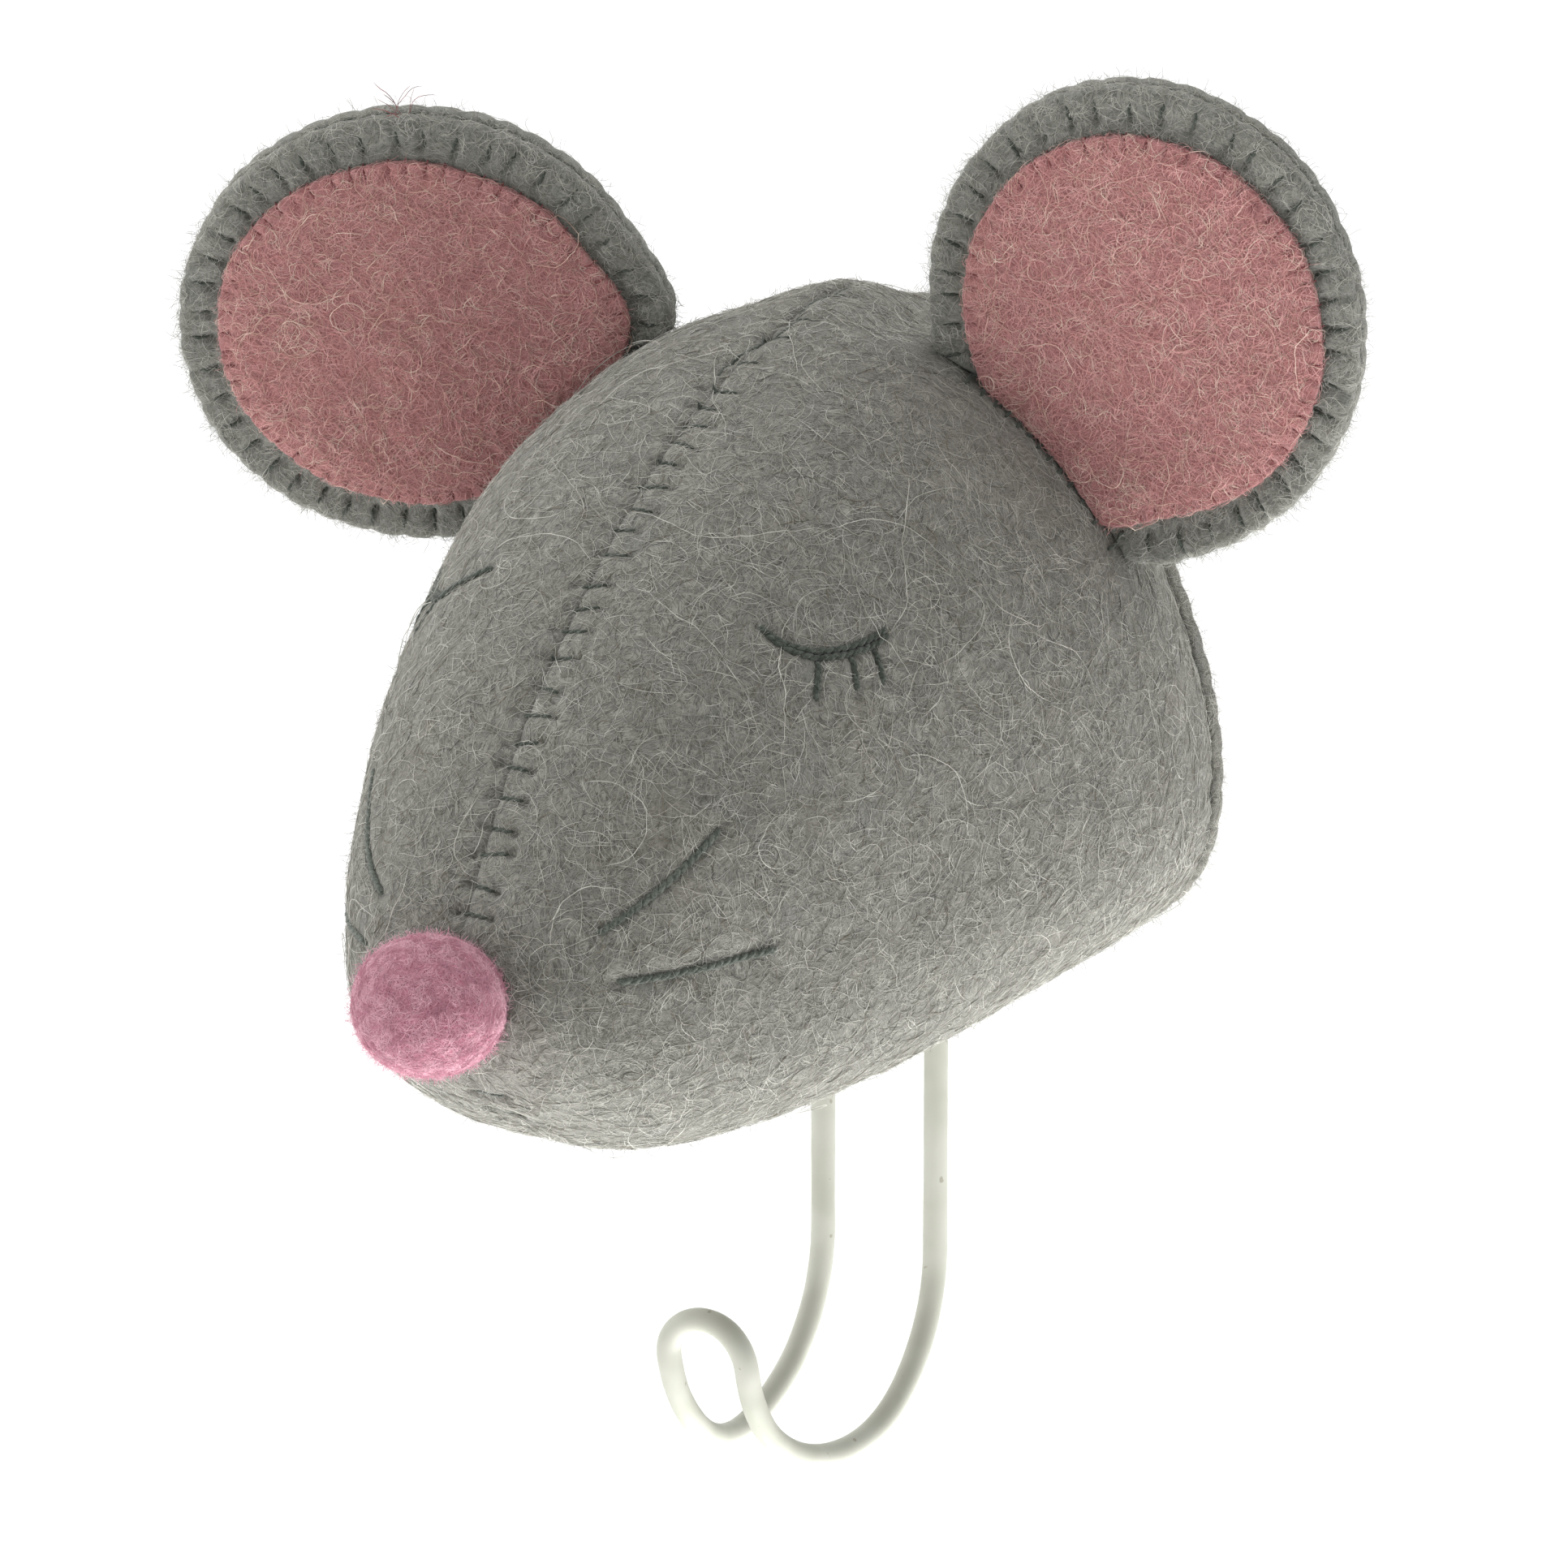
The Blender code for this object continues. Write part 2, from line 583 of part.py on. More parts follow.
def back_cover():
    cover = outline_plate("back_cover", 0.0, 0.0, -FELT, "grey_felt")
    half_x, half_z = (half + COVER_CUTOUT_MARGIN for half in PLATE_HALF)
    cut(cover, as_cutter(box_solid("back_cover_cutout", (-half_x, -5 * MM, PLATE_Z - half_z),
                                   (half_x, 5 * MM, PLATE_Z + half_z), "grey_felt")))


# ---- stitches on the head ------------------------------------------------------------------
def over_skin(t, angle):
    """Where a thread's centre lies over the felt, and the surface normal there."""
    normal = skin_normal(t, angle)
    return skin_point(t, angle) + normal * (GAP + THREAD / 2), normal


def spaced(start, end, step, point_at):
    """Parameters from start to end whose points lie one step apart."""
    fine = [start + (end - start) * k / 400 for k in range(401)]
    places, run = [start], 0.0
    for before, after in zip(fine, fine[1:]):
        run += (point_at(after) - point_at(before)).length
        if run >= step:
            places.append(after)
            run = 0.0
    return places


def beside_seam(t, x, upper):
    """The section angle on the +X side at a distance x from the seam."""
    _, _, _, _, half, crown, jaw = head_section(t)
    angle = math.acos(min(x / half, 1.0) ** ((crown if upper else jaw) / 2))
    return angle if upper else -angle


def seam_thread(name, upper, start_depth, end_depth):
    """A thread along a seam of the head, with a stitch over the left panel at every step."""
    seam = math.pi / 2 if upper else -math.pi / 2
    run = []
    for t in spaced(t_at_depth(start_depth), t_at_depth(end_depth), SEAM_STEP, lambda s: skin_point(s, seam)):
        stitch = [over_skin(t, beside_seam(t, x, upper)) for x in (SEAM_STITCH / 2, SEAM_STITCH)]
        run.append((*over_skin(t, seam), stitch))
    add_solid(name, *thread_geometry(run, THREAD), "dark_thread", smooth=False)


def edge_thread():
    """The thread that joins the side panels to the back cover, all round the edge."""
    edge, far = t_at_depth(-BOARD_BACK), t_at_depth(EDGE_STITCH)
    run = []
    for angle in spaced(math.pi / 2, 2.5 * math.pi, EDGE_STEP / 2, lambda a: skin_point(edge, a))[:-1]:
        normal = skin_normal(edge, angle)
        normal.y = 0.0
        over = skin_point(edge, angle) + normal.normalized() * (GAP + THREAD / 2)
        over.y = -EDGE_THREAD_DEPTH
        stitch = [over_skin(far, angle)] if len(run) % 2 else None
        run.append((over, normal, stitch))
    add_solid("back_edge_thread", *thread_geometry(run, THREAD, closed=True), "dark_thread", smooth=False)


def cheek_place(depth, height, side):
    t = t_at_depth(depth * MM)
    angle = angle_at_height(t, height * MM)
    return (t, angle) if side == "left" else (t, math.pi - angle)


def cheek_thread(name, places, side, stitches=()):
    """A thread over the cheek; stitches maps a place's number to the place where its side stitch ends."""
    ends = dict(stitches)
    run = []
    for k, place in enumerate(places):
        stitch = [over_skin(*cheek_place(*ends[k], side))] if k in ends else None
        run.append((*over_skin(*cheek_place(*place, side)), stitch))
    add_solid(name, *thread_geometry(run, THREAD), "dark_thread", smooth=False)


def face_threads(side):
    cheek_thread(f"eye_thread_{side}", EYES[side]["lid"], side, EYES[side]["lashes"])
    steps = 5
    for which, (front, back) in WHISKERS[side].items():
        places = [tuple(f + (b - f) * k / steps for f, b in zip(front, back)) for k in range(steps + 1)]
        cheek_thread(f"whisker_{side}_{which}", places, side)


# ---- ears ----------------------------------------------------------------------------------
def ear_frame(ear):
    """The ear's own frame: Z along its facing, X from its middle towards its base."""
    facing = Vector(ear["facing"]).normalized()
    base = Vector(ear["base"])
    base = (base - facing * base.dot(facing)).normalized()
    side = facing.cross(base)
    turn = Matrix((base, side, facing)).transposed().to_4x4()
    return Matrix.Translation(Vector(ear["centre"]) * MM) @ turn


def edge_angles(radius, step):
    """Angles round an ear's free edge, an even number of steps apart."""
    first, last = BASE_FREE, 360.0 - BASE_FREE
    count = round(math.radians(last - first) * radius / step)
    return [math.radians(first + (last - first) * k / count) for k in range(count + 1)]


def rim_thread(side, frame, radius):
    """Blanket stitch: a thread round the rim, with stitches over the front felt."""
    front = GAP / 2 + FELT + GAP + THREAD / 2
    outer, inner = radius + GAP + THREAD / 2, radius - RIM_STITCH
    run = []
    for k, angle in enumerate(edge_angles(radius, EDGE_STEP / 2)):
        turn = frame @ Matrix.Rotation(angle, 4, "Z")
        out, up = turn.col[0].to_3d(), turn.col[2].to_3d()
        stitch = [(turn @ Vector((outer, 0, front)), out + up), (turn @ Vector((inner, 0, front)), up)]
        run.append((turn @ Vector((outer, 0, 0)), out, stitch if k % 2 else None))
    add_solid(f"ear_{side}_rim_thread", *thread_geometry(run, THREAD), "dark_thread", smooth=False)


def inner_thread(side, frame, radius, height):
    """The fine thread that holds the pink inner ear, along its edge."""
    level = height + GAP + FINE_THREAD / 2
    run = []
    for angle in edge_angles(radius, EDGE_STEP / 2):
        turn = frame @ Matrix.Rotation(angle, 4, "Z")
        run.append((turn @ Vector((radius - 0.6 * MM, 0, level)), turn.col[2].to_3d(), None))
    add_solid(f"ear_{side}_inner_thread", *thread_geometry(run, FINE_THREAD), "pink_thread", smooth=False)


def nearest_place(target):
    """The (t, angle) of the head surface closest to a point, on the crown."""
    side, turn = (0.0, 1.0) if target.x > 0 else (math.pi, -1.0)
    grid = [(0.01 + 0.01 * i, side + turn * math.pi / 2 * j / 80) for i in range(60) for j in range(81)]
    return min(grid, key=lambda place: (skin_point(*place) - target).length)


def base_thread(side, frame):
    """The thread that sews the ear down, along the front of its base."""
    run = []
    for along in (-15, -10, -5, 0, 5, 10, 15):
        target = frame @ Vector((EAR_BASE_DISTANCE, along * MM, BASE_THREAD_AHEAD))
        run.append((*over_skin(*nearest_place(target)), None))
    add_solid(f"ear_{side}_base_thread", *thread_geometry(run, THREAD), "dark_thread", smooth=False)


def ear(side, clearance, inner_clearance):
    frame = ear_frame(EARS[side])
    radius = EARS[side]["radius"] * MM
    near, far = GAP / 2, GAP / 2 + FELT
    inner_near, inner_far = far + GAP, far + GAP + PINK_FELT
    inner_radius = radius - INNER_MARGIN
    for name, low, high in (("front", near, far), ("back", -far, -near)):
        geometry = disc_geometry(frame, radius, low, high, EAR_SIDES, chamfer=0.6 * MM)
        cut(add_solid(f"ear_{side}_{name}", *geometry, "grey_felt"), clearance)
    geometry = disc_geometry(frame, inner_radius, inner_near, inner_far, EAR_SIDES)
    cut(add_solid(f"ear_{side}_inner", *geometry, "pink_felt"), inner_clearance)
    rim_thread(side, frame, radius)
    inner_thread(side, frame, inner_radius, inner_far)
    base_thread(side, frame)


# ---- nose ----------------------------------------------------------------------------------
def nose_ball():
    sphere = bmesh.new()
    bmesh.ops.create_uvsphere(sphere, u_segments=18, v_segments=12, radius=NOSE_RADIUS)
    place = Matrix.Translation(NOSE_CENTRE) @ Matrix.Diagonal((1, 1, NOSE_HEIGHT, 1))
    bmesh.ops.transform(sphere, matrix=place, verts=sphere.verts)
    mesh = bpy.data.meshes.new("nose_ball")
    sphere.to_mesh(mesh)
    sphere.free()
    mesh.shade_smooth()
    obj = bpy.data.objects.new("nose_ball", mesh)
    obj.data.materials.append(material("nose_wool"))
    bpy.context.scene.collection.objects.link(obj)


def wire_exits(name, radius):
    """Cutter for the two small holes in the underside that the wires pass through."""
    solids = []
    for x in (-LEG_X, LEG_X):
        frame = Matrix.Translation((x, WIRE_Y, -60 * MM))
        solids.append(disc_geometry(frame, radius, 0.0, 40 * MM, 16))
    return group_cutter(name, solids, "grey_felt")


def head():
    exits = wire_exits("wire_exits", WIRE_HOLE)
    for name, side in (("head_panel_left", 1), ("head_panel_right", -1)):
        cut(half_skin(name, side), exits)
    stuffing = full_body("head_stuffing", -(FELT + 2 * GAP), STUFFING_BACK, "wadding")
    cut(stuffing, as_cutter(box_solid("stuffing_pocket", *STUFFING_POCKET, "wadding")))
    seam_thread("top_seam_thread", True, 8.5 * MM, 98.5 * MM)
    seam_thread("chin_seam_thread", False, 14.0 * MM, 98.0 * MM)
    edge_thread()
    for side in ("left", "right"):
        face_threads(side)


def main():
    clear_scene()
    head()
    nose_ball()
    backboard()
    back_cover()
    hanger_plate()
    wire_hook()
    clips_and_screws()
    clearance = as_cutter(full_body("ear_clearance", EAR_CLEARANCE, 2 * MM, "grey_felt"))
    inner_clearance = as_cutter(full_body("inner_ear_clearance", INNER_CLEARANCE, 2 * MM, "grey_felt"))
    for side in EARS:
        ear(side, clearance, inner_clearance)


main()
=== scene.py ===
"""Looks for the felt mouse head coat hook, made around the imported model.

Metres, +Z up, the wall is the plane y = 0 and the mouse looks along -Y. +X is the mouse's left side.
"""
import itertools
import math

import bpy
import numpy as np
from mathutils import Matrix, Vector
from mathutils.bvhtree import BVHTree


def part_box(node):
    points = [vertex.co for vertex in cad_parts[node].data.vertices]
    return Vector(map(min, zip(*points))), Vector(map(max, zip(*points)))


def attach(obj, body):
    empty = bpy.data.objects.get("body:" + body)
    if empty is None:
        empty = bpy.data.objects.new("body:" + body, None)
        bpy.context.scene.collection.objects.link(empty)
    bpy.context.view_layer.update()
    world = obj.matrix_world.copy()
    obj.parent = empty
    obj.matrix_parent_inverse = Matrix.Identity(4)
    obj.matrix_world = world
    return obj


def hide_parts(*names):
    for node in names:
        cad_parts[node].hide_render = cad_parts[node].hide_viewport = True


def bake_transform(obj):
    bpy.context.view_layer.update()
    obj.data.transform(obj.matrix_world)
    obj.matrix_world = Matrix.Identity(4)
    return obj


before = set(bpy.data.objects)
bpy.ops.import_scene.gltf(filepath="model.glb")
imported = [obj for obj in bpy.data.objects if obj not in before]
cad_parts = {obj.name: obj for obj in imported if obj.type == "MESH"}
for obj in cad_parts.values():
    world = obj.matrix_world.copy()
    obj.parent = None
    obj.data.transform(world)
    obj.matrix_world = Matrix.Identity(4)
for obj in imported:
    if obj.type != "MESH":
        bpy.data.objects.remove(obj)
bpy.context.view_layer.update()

MM = 0.001
SCENE = bpy.context.scene

# ---- sizes, most of them as in the CAD source ----------------------------------------------
FELT = 2.5 * MM
PINK_FELT = 1.5 * MM
HEAD_SECTIONS = (          # from wall to nose: distance from the wall, top, chin, half width, mm
    (0.0, 35.5, -44.0, 42.0),
    (28.0, 40.0, -45.0, 45.0),
    (54.0, 32.5, -48.8, 38.5),
    (76.0, 17.2, -49.6, 30.3),
    (93.0, -1.5, -43.3, 22.5),
    (103.5, -19.3, -31.2, 11.9),
    (104.6, -24.3, -24.3, 0.0),
)
WIDEST_AT = (0.32, 0.42, 0.50)
CROWN_POWER = (1.68, 2.74)
JAW_POWER = (2.67, 2.45)
BACK_EDGE = 2.8 * MM
STUFFING_BACK = 8.6 * MM
NOSE_CENTRE = np.array((0.0, -108.8, -24.5)) * MM
NOSE_RADIUS = 8.9 * MM
NOSE_HEIGHT = 0.9
# An outline is a mean radius, a shift along the ear's own x and y, an oval share with its direction in
# degrees, and a corner with its direction, where the gathered felt spreads beside the head.
EARS = {
    "left": {"centre": (40.4, -16.6, 42.0), "facing": (0.218, -0.97, -0.111), "radius": 28.4,
             "base": (-0.619, -0.049, -0.784), "outline": (27.95, -0.76, 0.0, 1.3, 39.0, 1.2, 40.0),
             "pink": (22.85, -1.08, 0.29, 0.75, 45.0, 2.6, 27.0)},
    "right": {"centre": (-47.8, -38.0, 34.3), "facing": (0.41, -0.87, -0.26), "radius": 30.2,
              "base": (0.69, 0.495, -0.527), "outline": (29.05, -1.0, 0.2, 0.6, 78.0, 2.4, 40.0),
              "pink": (23.8, -1.0, 0.29, 0.4, 53.0, 2.4, 42.0)},
}
CORNER_SPREAD = 15.0                # degrees
SIDES = ("left", "right")
EYES = {
    "left": {"lid": ((71.3, 14.6), (70.3, 12.6), (67.8, 11.3), (64.0, 11.2), (60.8, 11.7), (58.2, 12.6)),
             "lashes": (((67.6, 11.0), (70.3, 6.1)), ((63.8, 11.0), (65.0, 6.4)), ((60.8, 11.4), (61.4, 6.6)))},
    "right": {"lid": ((73.6, 16.8), (73.4, 14.6), (72.6, 12.0), (69.4, 11.1), (65.6, 11.3), (61.8, 12.6)),
              "lashes": (((72.4, 11.8), (75.2, 6.4)), ((69.2, 11.0), (70.3, 6.2)), ((65.6, 11.2), (66.0, 6.4)))},
}
WHISKERS = {
    "left": {"upper": ((98.8, -16.1), (84.7, -5.4)), "lower": ((98.2, -21.6), (79.6, -20.7))},
    "right": {"upper": ((100.4, -15.6), (87.4, -4.6)), "lower": ((102.2, -21.2), (83.6, -20.6))},
}
WIRE_RADIUS = 1.5 * MM              # over its coating
WIRE_Y = -10.0 * MM
LEG_X, LEG_TOP = 8.2 * MM, 2.0 * MM
BEND_Z, BEND_RADIUS = -83.0 * MM, 20.1 * MM
TIP_LOOP, TIP_RISE = 5.6 * MM, 1.7 * MM
TAPER_FROM, TAPER_TO = 60.0, 145.0  # degrees round the bend, over which the wires come together
PLATE_Z = 15.0 * MM
CUTOUT_HALF = (15.0 * MM, 11.0 * MM)


# ---- arrays and meshes ---------------------------------------------------------------------
def unit(vectors):
    return vectors / np.maximum(np.linalg.norm(vectors, axis=-1, keepdims=True), 1e-12)


def smooth_step(value):
    value = np.clip(value, 0.0, 1.0)
    return value * value * (3 - 2 * value)


def hashed(cells, seed):
    """A number from 0 to 1 for each whole-number cell."""
    x, y, z = np.moveaxis(cells, -1, 0)
    mixed = (x * 73856093) ^ (y * 19349663) ^ (z * 83492791) ^ (seed * 50331653)
    mixed = (mixed * 1103515245 + 12345) & 0x7FFFFFFF
    mixed = ((mixed >> 13) ^ mixed) * 60493 & 0x7FFFFFFF
    return mixed / 0x7FFFFFFF


def lumps(points, size, seed):
    """Smooth noise from about -1 to 1, in lumps of that size."""
    places = np.asarray(points, float) / size + 11.37 * seed
    cells = np.floor(places).astype(np.int64)
    inside = places - cells
    fade = inside ** 3 * (inside * (inside * 6 - 15) + 10)
    total = np.zeros(places.shape[:-1])
    for corner in itertools.product((0, 1), repeat=3):
        corner = np.array(corner)
        height = 2 * hashed(cells + corner, seed) - 1
        turn = 2 * math.pi * hashed(cells + corner, seed + 77)
        flat = np.sqrt(1 - height ** 2)
        slope = np.stack((flat * np.cos(turn), flat * np.sin(turn), height), axis=-1)
        weight = np.prod(np.where(corner, fade, 1 - fade), axis=-1)
        total += weight * np.sum(slope * (inside - corner), axis=-1)
    return 1.6 * total


def add_mesh(name, verts, groups, material):
    """A smooth mesh object of triangles and quads, turned so that its normals face out."""
    verts = np.asarray(verts, float).reshape(-1, 3)
    groups = [np.asarray(group).reshape(-1, np.asarray(group).shape[-1]) for group in groups if len(group)]
    volume = 0.0
    for group in groups:
        corners = verts[group]
        for k in range(1, group.shape[1] - 1):
            volume += np.sum(corners[:, 0] * np.cross(corners[:, k], corners[:, k + 1]))
    if volume < 0:
        groups = [group[:, ::-1] for group in groups]
    mesh = bpy.data.meshes.new(name)
    mesh.vertices.add(len(verts))
    mesh.vertices.foreach_set("co", verts.astype(np.float32).ravel())
    sizes = np.concatenate([np.full(len(group), group.shape[1]) for group in groups])
    mesh.loops.add(int(sizes.sum()))
    corners = np.concatenate([group.ravel() for group in groups])
    mesh.loops.foreach_set("vertex_index", corners.astype(np.int32))
    mesh.polygons.add(len(sizes))
    mesh.polygons.foreach_set("loop_start", (np.cumsum(sizes) - sizes).astype(np.int32))
    mesh.update(calc_edges=True)
    mesh.shade_smooth()
    mesh.materials.append(material)
    made = bpy.data.objects.new(name, mesh)
    SCENE.collection.objects.link(made)
    return made


def grid_quads(rows, columns, start=0, closed=False):
    """Quads of a grid of vertices numbered row by row; closed joins its last column to its first."""
    across = columns if closed else columns - 1
    i, j = np.meshgrid(np.arange(rows - 1), np.arange(across), indexing="ij")
    a, b = start + i * columns + j, start + i * columns + (j + 1) % columns
    return np.stack((a, b, b + columns, a + columns), axis=-1).reshape(-1, 4)


def shell(outer, inner):
    """The closed body between two grids of points with the same rows and columns."""
    rows, columns = outer.shape[:2]
    layer = rows * columns
    number = np.arange(layer).reshape(rows, columns)
    rim = np.concatenate((number[0, :-1], number[:-1, -1], number[-1, :0:-1], number[:0:-1, 0]))
    follow = np.roll(rim, -1)
    wall = np.stack((follow, rim, rim + layer, follow + layer), axis=-1)
    verts = np.concatenate((outer.reshape(-1, 3), inner.reshape(-1, 3)))
    faces, back_faces = grid_quads(rows, columns), grid_quads(rows, columns, layer)[:, ::-1]
    return verts, [np.concatenate((faces, back_faces, wall))]


def turned(rings, first, last):
    """A closed body of rings of points, with one point to close each end."""
    rows, columns = rings.shape[:2]
    verts = np.concatenate((rings.reshape(-1, 3), [first], [last]))
    ring = np.arange(columns)
    follow = np.roll(ring, -1)
    end = (rows - 1) * columns
    caps = np.concatenate((np.stack((follow, ring, np.full(columns, rows * columns)), axis=-1),
                           np.stack((end + ring, end + follow, np.full(columns, rows * columns + 1)), axis=-1)))
    return verts, [grid_quads(rows, columns, closed=True), caps]


def transported(points):
    """Vectors square to each path that turn as little as they can along it."""
    along = unit(np.gradient(points, axis=1))
    up = np.zeros_like(points)
    start = np.where(np.abs(along[:, 0, :1]) < 0.9, (1.0, 0.0, 0.0), (0.0, 0.0, 1.0))
    up[:, 0] = unit(start - along[:, 0] * np.sum(start * along[:, 0], axis=-1, keepdims=True))
    for k in range(1, points.shape[1]):
        kept = up[:, k - 1]
        up[:, k] = unit(kept - along[:, k] * np.sum(kept * along[:, k], axis=-1, keepdims=True))
    return up


def tubes(points, radii, sides, up=None):
    """Closed tubes along paths: points is (tubes, steps, 3); each one's end rings close on one point."""
    many, steps = points.shape[:2]
    along = unit(np.gradient(points, axis=1))
    up = transported(points) if up is None else up
    side = unit(np.cross(along, up))
    up = np.cross(side, along)
    radii = np.broadcast_to(radii, (many, steps))
    turn = 2 * math.pi * np.arange(sides) / sides
    round_it = side[:, :, None] * np.cos(turn)[:, None] + up[:, :, None] * np.sin(turn)[:, None]
    rings = points[:, :, None] + round_it * radii[:, :, None, None]
    inner = rings[:, 1:-1]
    each = (steps - 2) * sides + 2
    verts = np.concatenate((inner.reshape(many, -1, 3), points[:, :1], points[:, -1:]), axis=1)
    quads = grid_quads(steps - 2, sides, closed=True)
    ring = np.arange(sides)
    follow = np.roll(ring, -1)
    end = (steps - 3) * sides
    caps = np.concatenate((np.stack((follow, ring, np.full(sides, each - 2)), axis=-1),
                           np.stack((end + ring, end + follow, np.full(sides, each - 1)), axis=-1)))
    shift = (np.arange(many) * each)[:, None, None]
    return verts.reshape(-1, 3), [(quads + shift).reshape(-1, 4), (caps + shift).reshape(-1, 3)]


def joined(bodies):
    """Several (verts, groups) as one."""
    verts, groups, start = [], {3: [], 4: []}, 0
    for more, faces in bodies:
        verts.append(more)
        for group in faces:
            groups[group.shape[1]].append(group + start)
        start += len(more)
    return np.concatenate(verts), [np.concatenate(group) for group in groups.values() if group]


def run_along(points):
    """The distance along a path at each of its points."""
    return np.concatenate(([0], np.cumsum(np.linalg.norm(np.diff(points, axis=0), axis=1))))


def resampled(points, steps):
    """The straight-sided path through the points, cut into even steps."""
    run = run_along(points)
    fine = np.linspace(0, run[-1], steps)
    return np.stack([np.interp(fine, run, points[:, k]) for k in range(3)], axis=-1)


def curve_through(points, steps):
    """A smooth curve through the points (Catmull-Rom), with evenly spaced steps."""
    points = np.asarray(points, float)
    padded = np.concatenate((2 * points[:1] - points[1:2], points, 2 * points[-1:] - points[-2:-1]))
    share = np.linspace(0, 1, 24, endpoint=False)[:, None]
    parts = []
    for a, b, c, d in zip(padded, padded[1:], padded[2:], padded[3:]):
        parts.append(0.5 * (2 * b + (c - a) * share + (2 * a - 5 * b + 4 * c - d) * share ** 2
                            + (3 * b - a - 3 * c + d) * share ** 3))
    return resampled(np.concatenate(parts + [points[-1:]]), steps)


# ---- head surface --------------------------------------------------------------------------
def cubic_bends(values):
    """Second derivatives of the smooth cubic curve through evenly spaced values."""
    n = len(values)
    matrix, right = np.zeros((n, n)), np.zeros(n)
    for i in range(1, n - 1):
        matrix[i, i - 1:i + 2] = (1, 4, 1)
        right[i] = 6 * (values[i - 1] - 2 * values[i] + values[i + 1])
    matrix[0, :3] = (1, -2, 1)
    matrix[-1, -3:] = (1, -2, 1)
    return np.linalg.solve(matrix, right)


HEAD_COLUMNS = [np.array(column) * MM for column in zip(*HEAD_SECTIONS)]
HEAD_BENDS = [cubic_bends(column) for column in HEAD_COLUMNS]


def along_head(column, t):
    """One column of the section list at t, from 0 at the wall to 1 at the tip."""
    values, bends = HEAD_COLUMNS[column], HEAD_BENDS[column]
    s = np.clip(t, 0.0, 1.0) * (len(values) - 1)
    i = np.minimum(s.astype(int), len(values) - 2)
    b = s - i
    a = 1 - b
    curve = ((a ** 3 - a) * bends[i] + (b ** 3 - b) * bends[i + 1]) / 6
    return a * values[i] + b * values[i + 1] + curve


def head_section(t):
    t = np.asarray(t, float)
    depth, top, bottom, half = (along_head(column, t) for column in range(4))
    middle = bottom + (top - bottom) * np.interp(t, (0, 0.5, 1), WIDEST_AT)
    crown = np.interp(t, (0, 0.6), CROWN_POWER)
    jaw = np.interp(t, (0, 1), JAW_POWER)
    return -depth, top, bottom, middle, half, crown, jaw


def skin_point(t, angle):
    """The head's smooth outer surface: angle 90 degrees is the top seam and -90 the chin seam."""
    y, top, bottom, middle, half, crown, jaw = head_section(t)
    c, s = np.cos(angle), np.sin(angle)
    power = np.where(s > 0, crown, jaw)
    reach = np.where(s > 0, top - middle, bottom - middle)
    x = half * np.sign(c) * np.abs(c) ** (2 / power)
    z = middle + reach * np.abs(s) ** (2 / power)
    return np.stack(np.broadcast_arrays(x, y, z), axis=-1)


def skin_normal(t, angle):
    e = 0.004
    t = np.clip(t, 2 * e, 1 - e)
    around = skin_point(t, angle + e) - skin_point(t, angle - e)
    along = skin_point(t + e, angle) - skin_point(t - e, angle)
    return unit(np.cross(around, along))


FINE_T = np.linspace(0, 1, 2001)
FINE_DEPTH = along_head(0, FINE_T)


def t_at_depth(depth):
    return np.interp(depth, FINE_DEPTH, FINE_T)


def angle_at_height(t, z):
    """The section angle on the +X side where the surface is at height z."""
    _, top, bottom, middle, _, crown, jaw = head_section(t)
    power = np.where(z > middle, crown, jaw)
    reach = np.where(z > middle, top - middle, middle - bottom)
    angle = np.arcsin(np.minimum(np.abs(z - middle) / reach, 1.0) ** (power / 2))
    return np.where(z > middle, angle, -angle)


def beside_seam(t, x, upper):
    """The section angle where the surface is that far to the +X side of the top or chin seam."""
    _, _, _, _, half, crown, jaw = head_section(t)
    power = crown if upper else jaw
    angle = np.arccos(np.minimum(np.abs(x) / half, 1.0) ** (power / 2))
    angle = np.where(x < 0, math.pi - angle, angle)
    return angle if upper else -angle


def head_clearance(points):
    """About how far points lie outside the head's smooth surface, in its own section."""
    t = t_at_depth(-points[..., 1])
    _, top, bottom, middle, half, crown, jaw = head_section(t)
    x, z = np.abs(points[..., 0]), points[..., 2] - middle
    power = np.where(z > 0, crown, jaw)
    reach = np.where(z > 0, top - middle, middle - bottom)
    half, reach = np.maximum(half, 0.1 * MM), np.maximum(reach, 0.1 * MM)
    value = ((x / half) ** power + (np.abs(z) / reach) ** power) ** (1 / power)
    return np.hypot(x, z) * (1 - 1 / np.maximum(value, 1e-6))


def dented(points, radius):
    """Points pushed back out of the bowl that the nose presses into the muzzle."""
    x = points[..., 0] - NOSE_CENTRE[0]
    z = (points[..., 2] - NOSE_CENTRE[2]) / NOSE_HEIGHT
    bowl = NOSE_CENTRE[1] + np.sqrt(np.maximum(radius ** 2 - x ** 2 - z ** 2, 0.0))
    inside = np.hypot(x, z) < radius
    points = points.copy()
    points[..., 1] = np.where(inside, np.maximum(points[..., 1], bowl), points[..., 1])
    return points


# ---- where the stitches lie ----------------------------------------------------------------
# Reach of a seam's stitches to the +X side and to the -X side, and their slant, in millimetres.
STITCH_SPREADS = ((2.9, 3.9), (0.7, 1.7), (-0.9, 0.9))
T_PER_METRE = 1 / (FINE_DEPTH[-1] * 1.15)


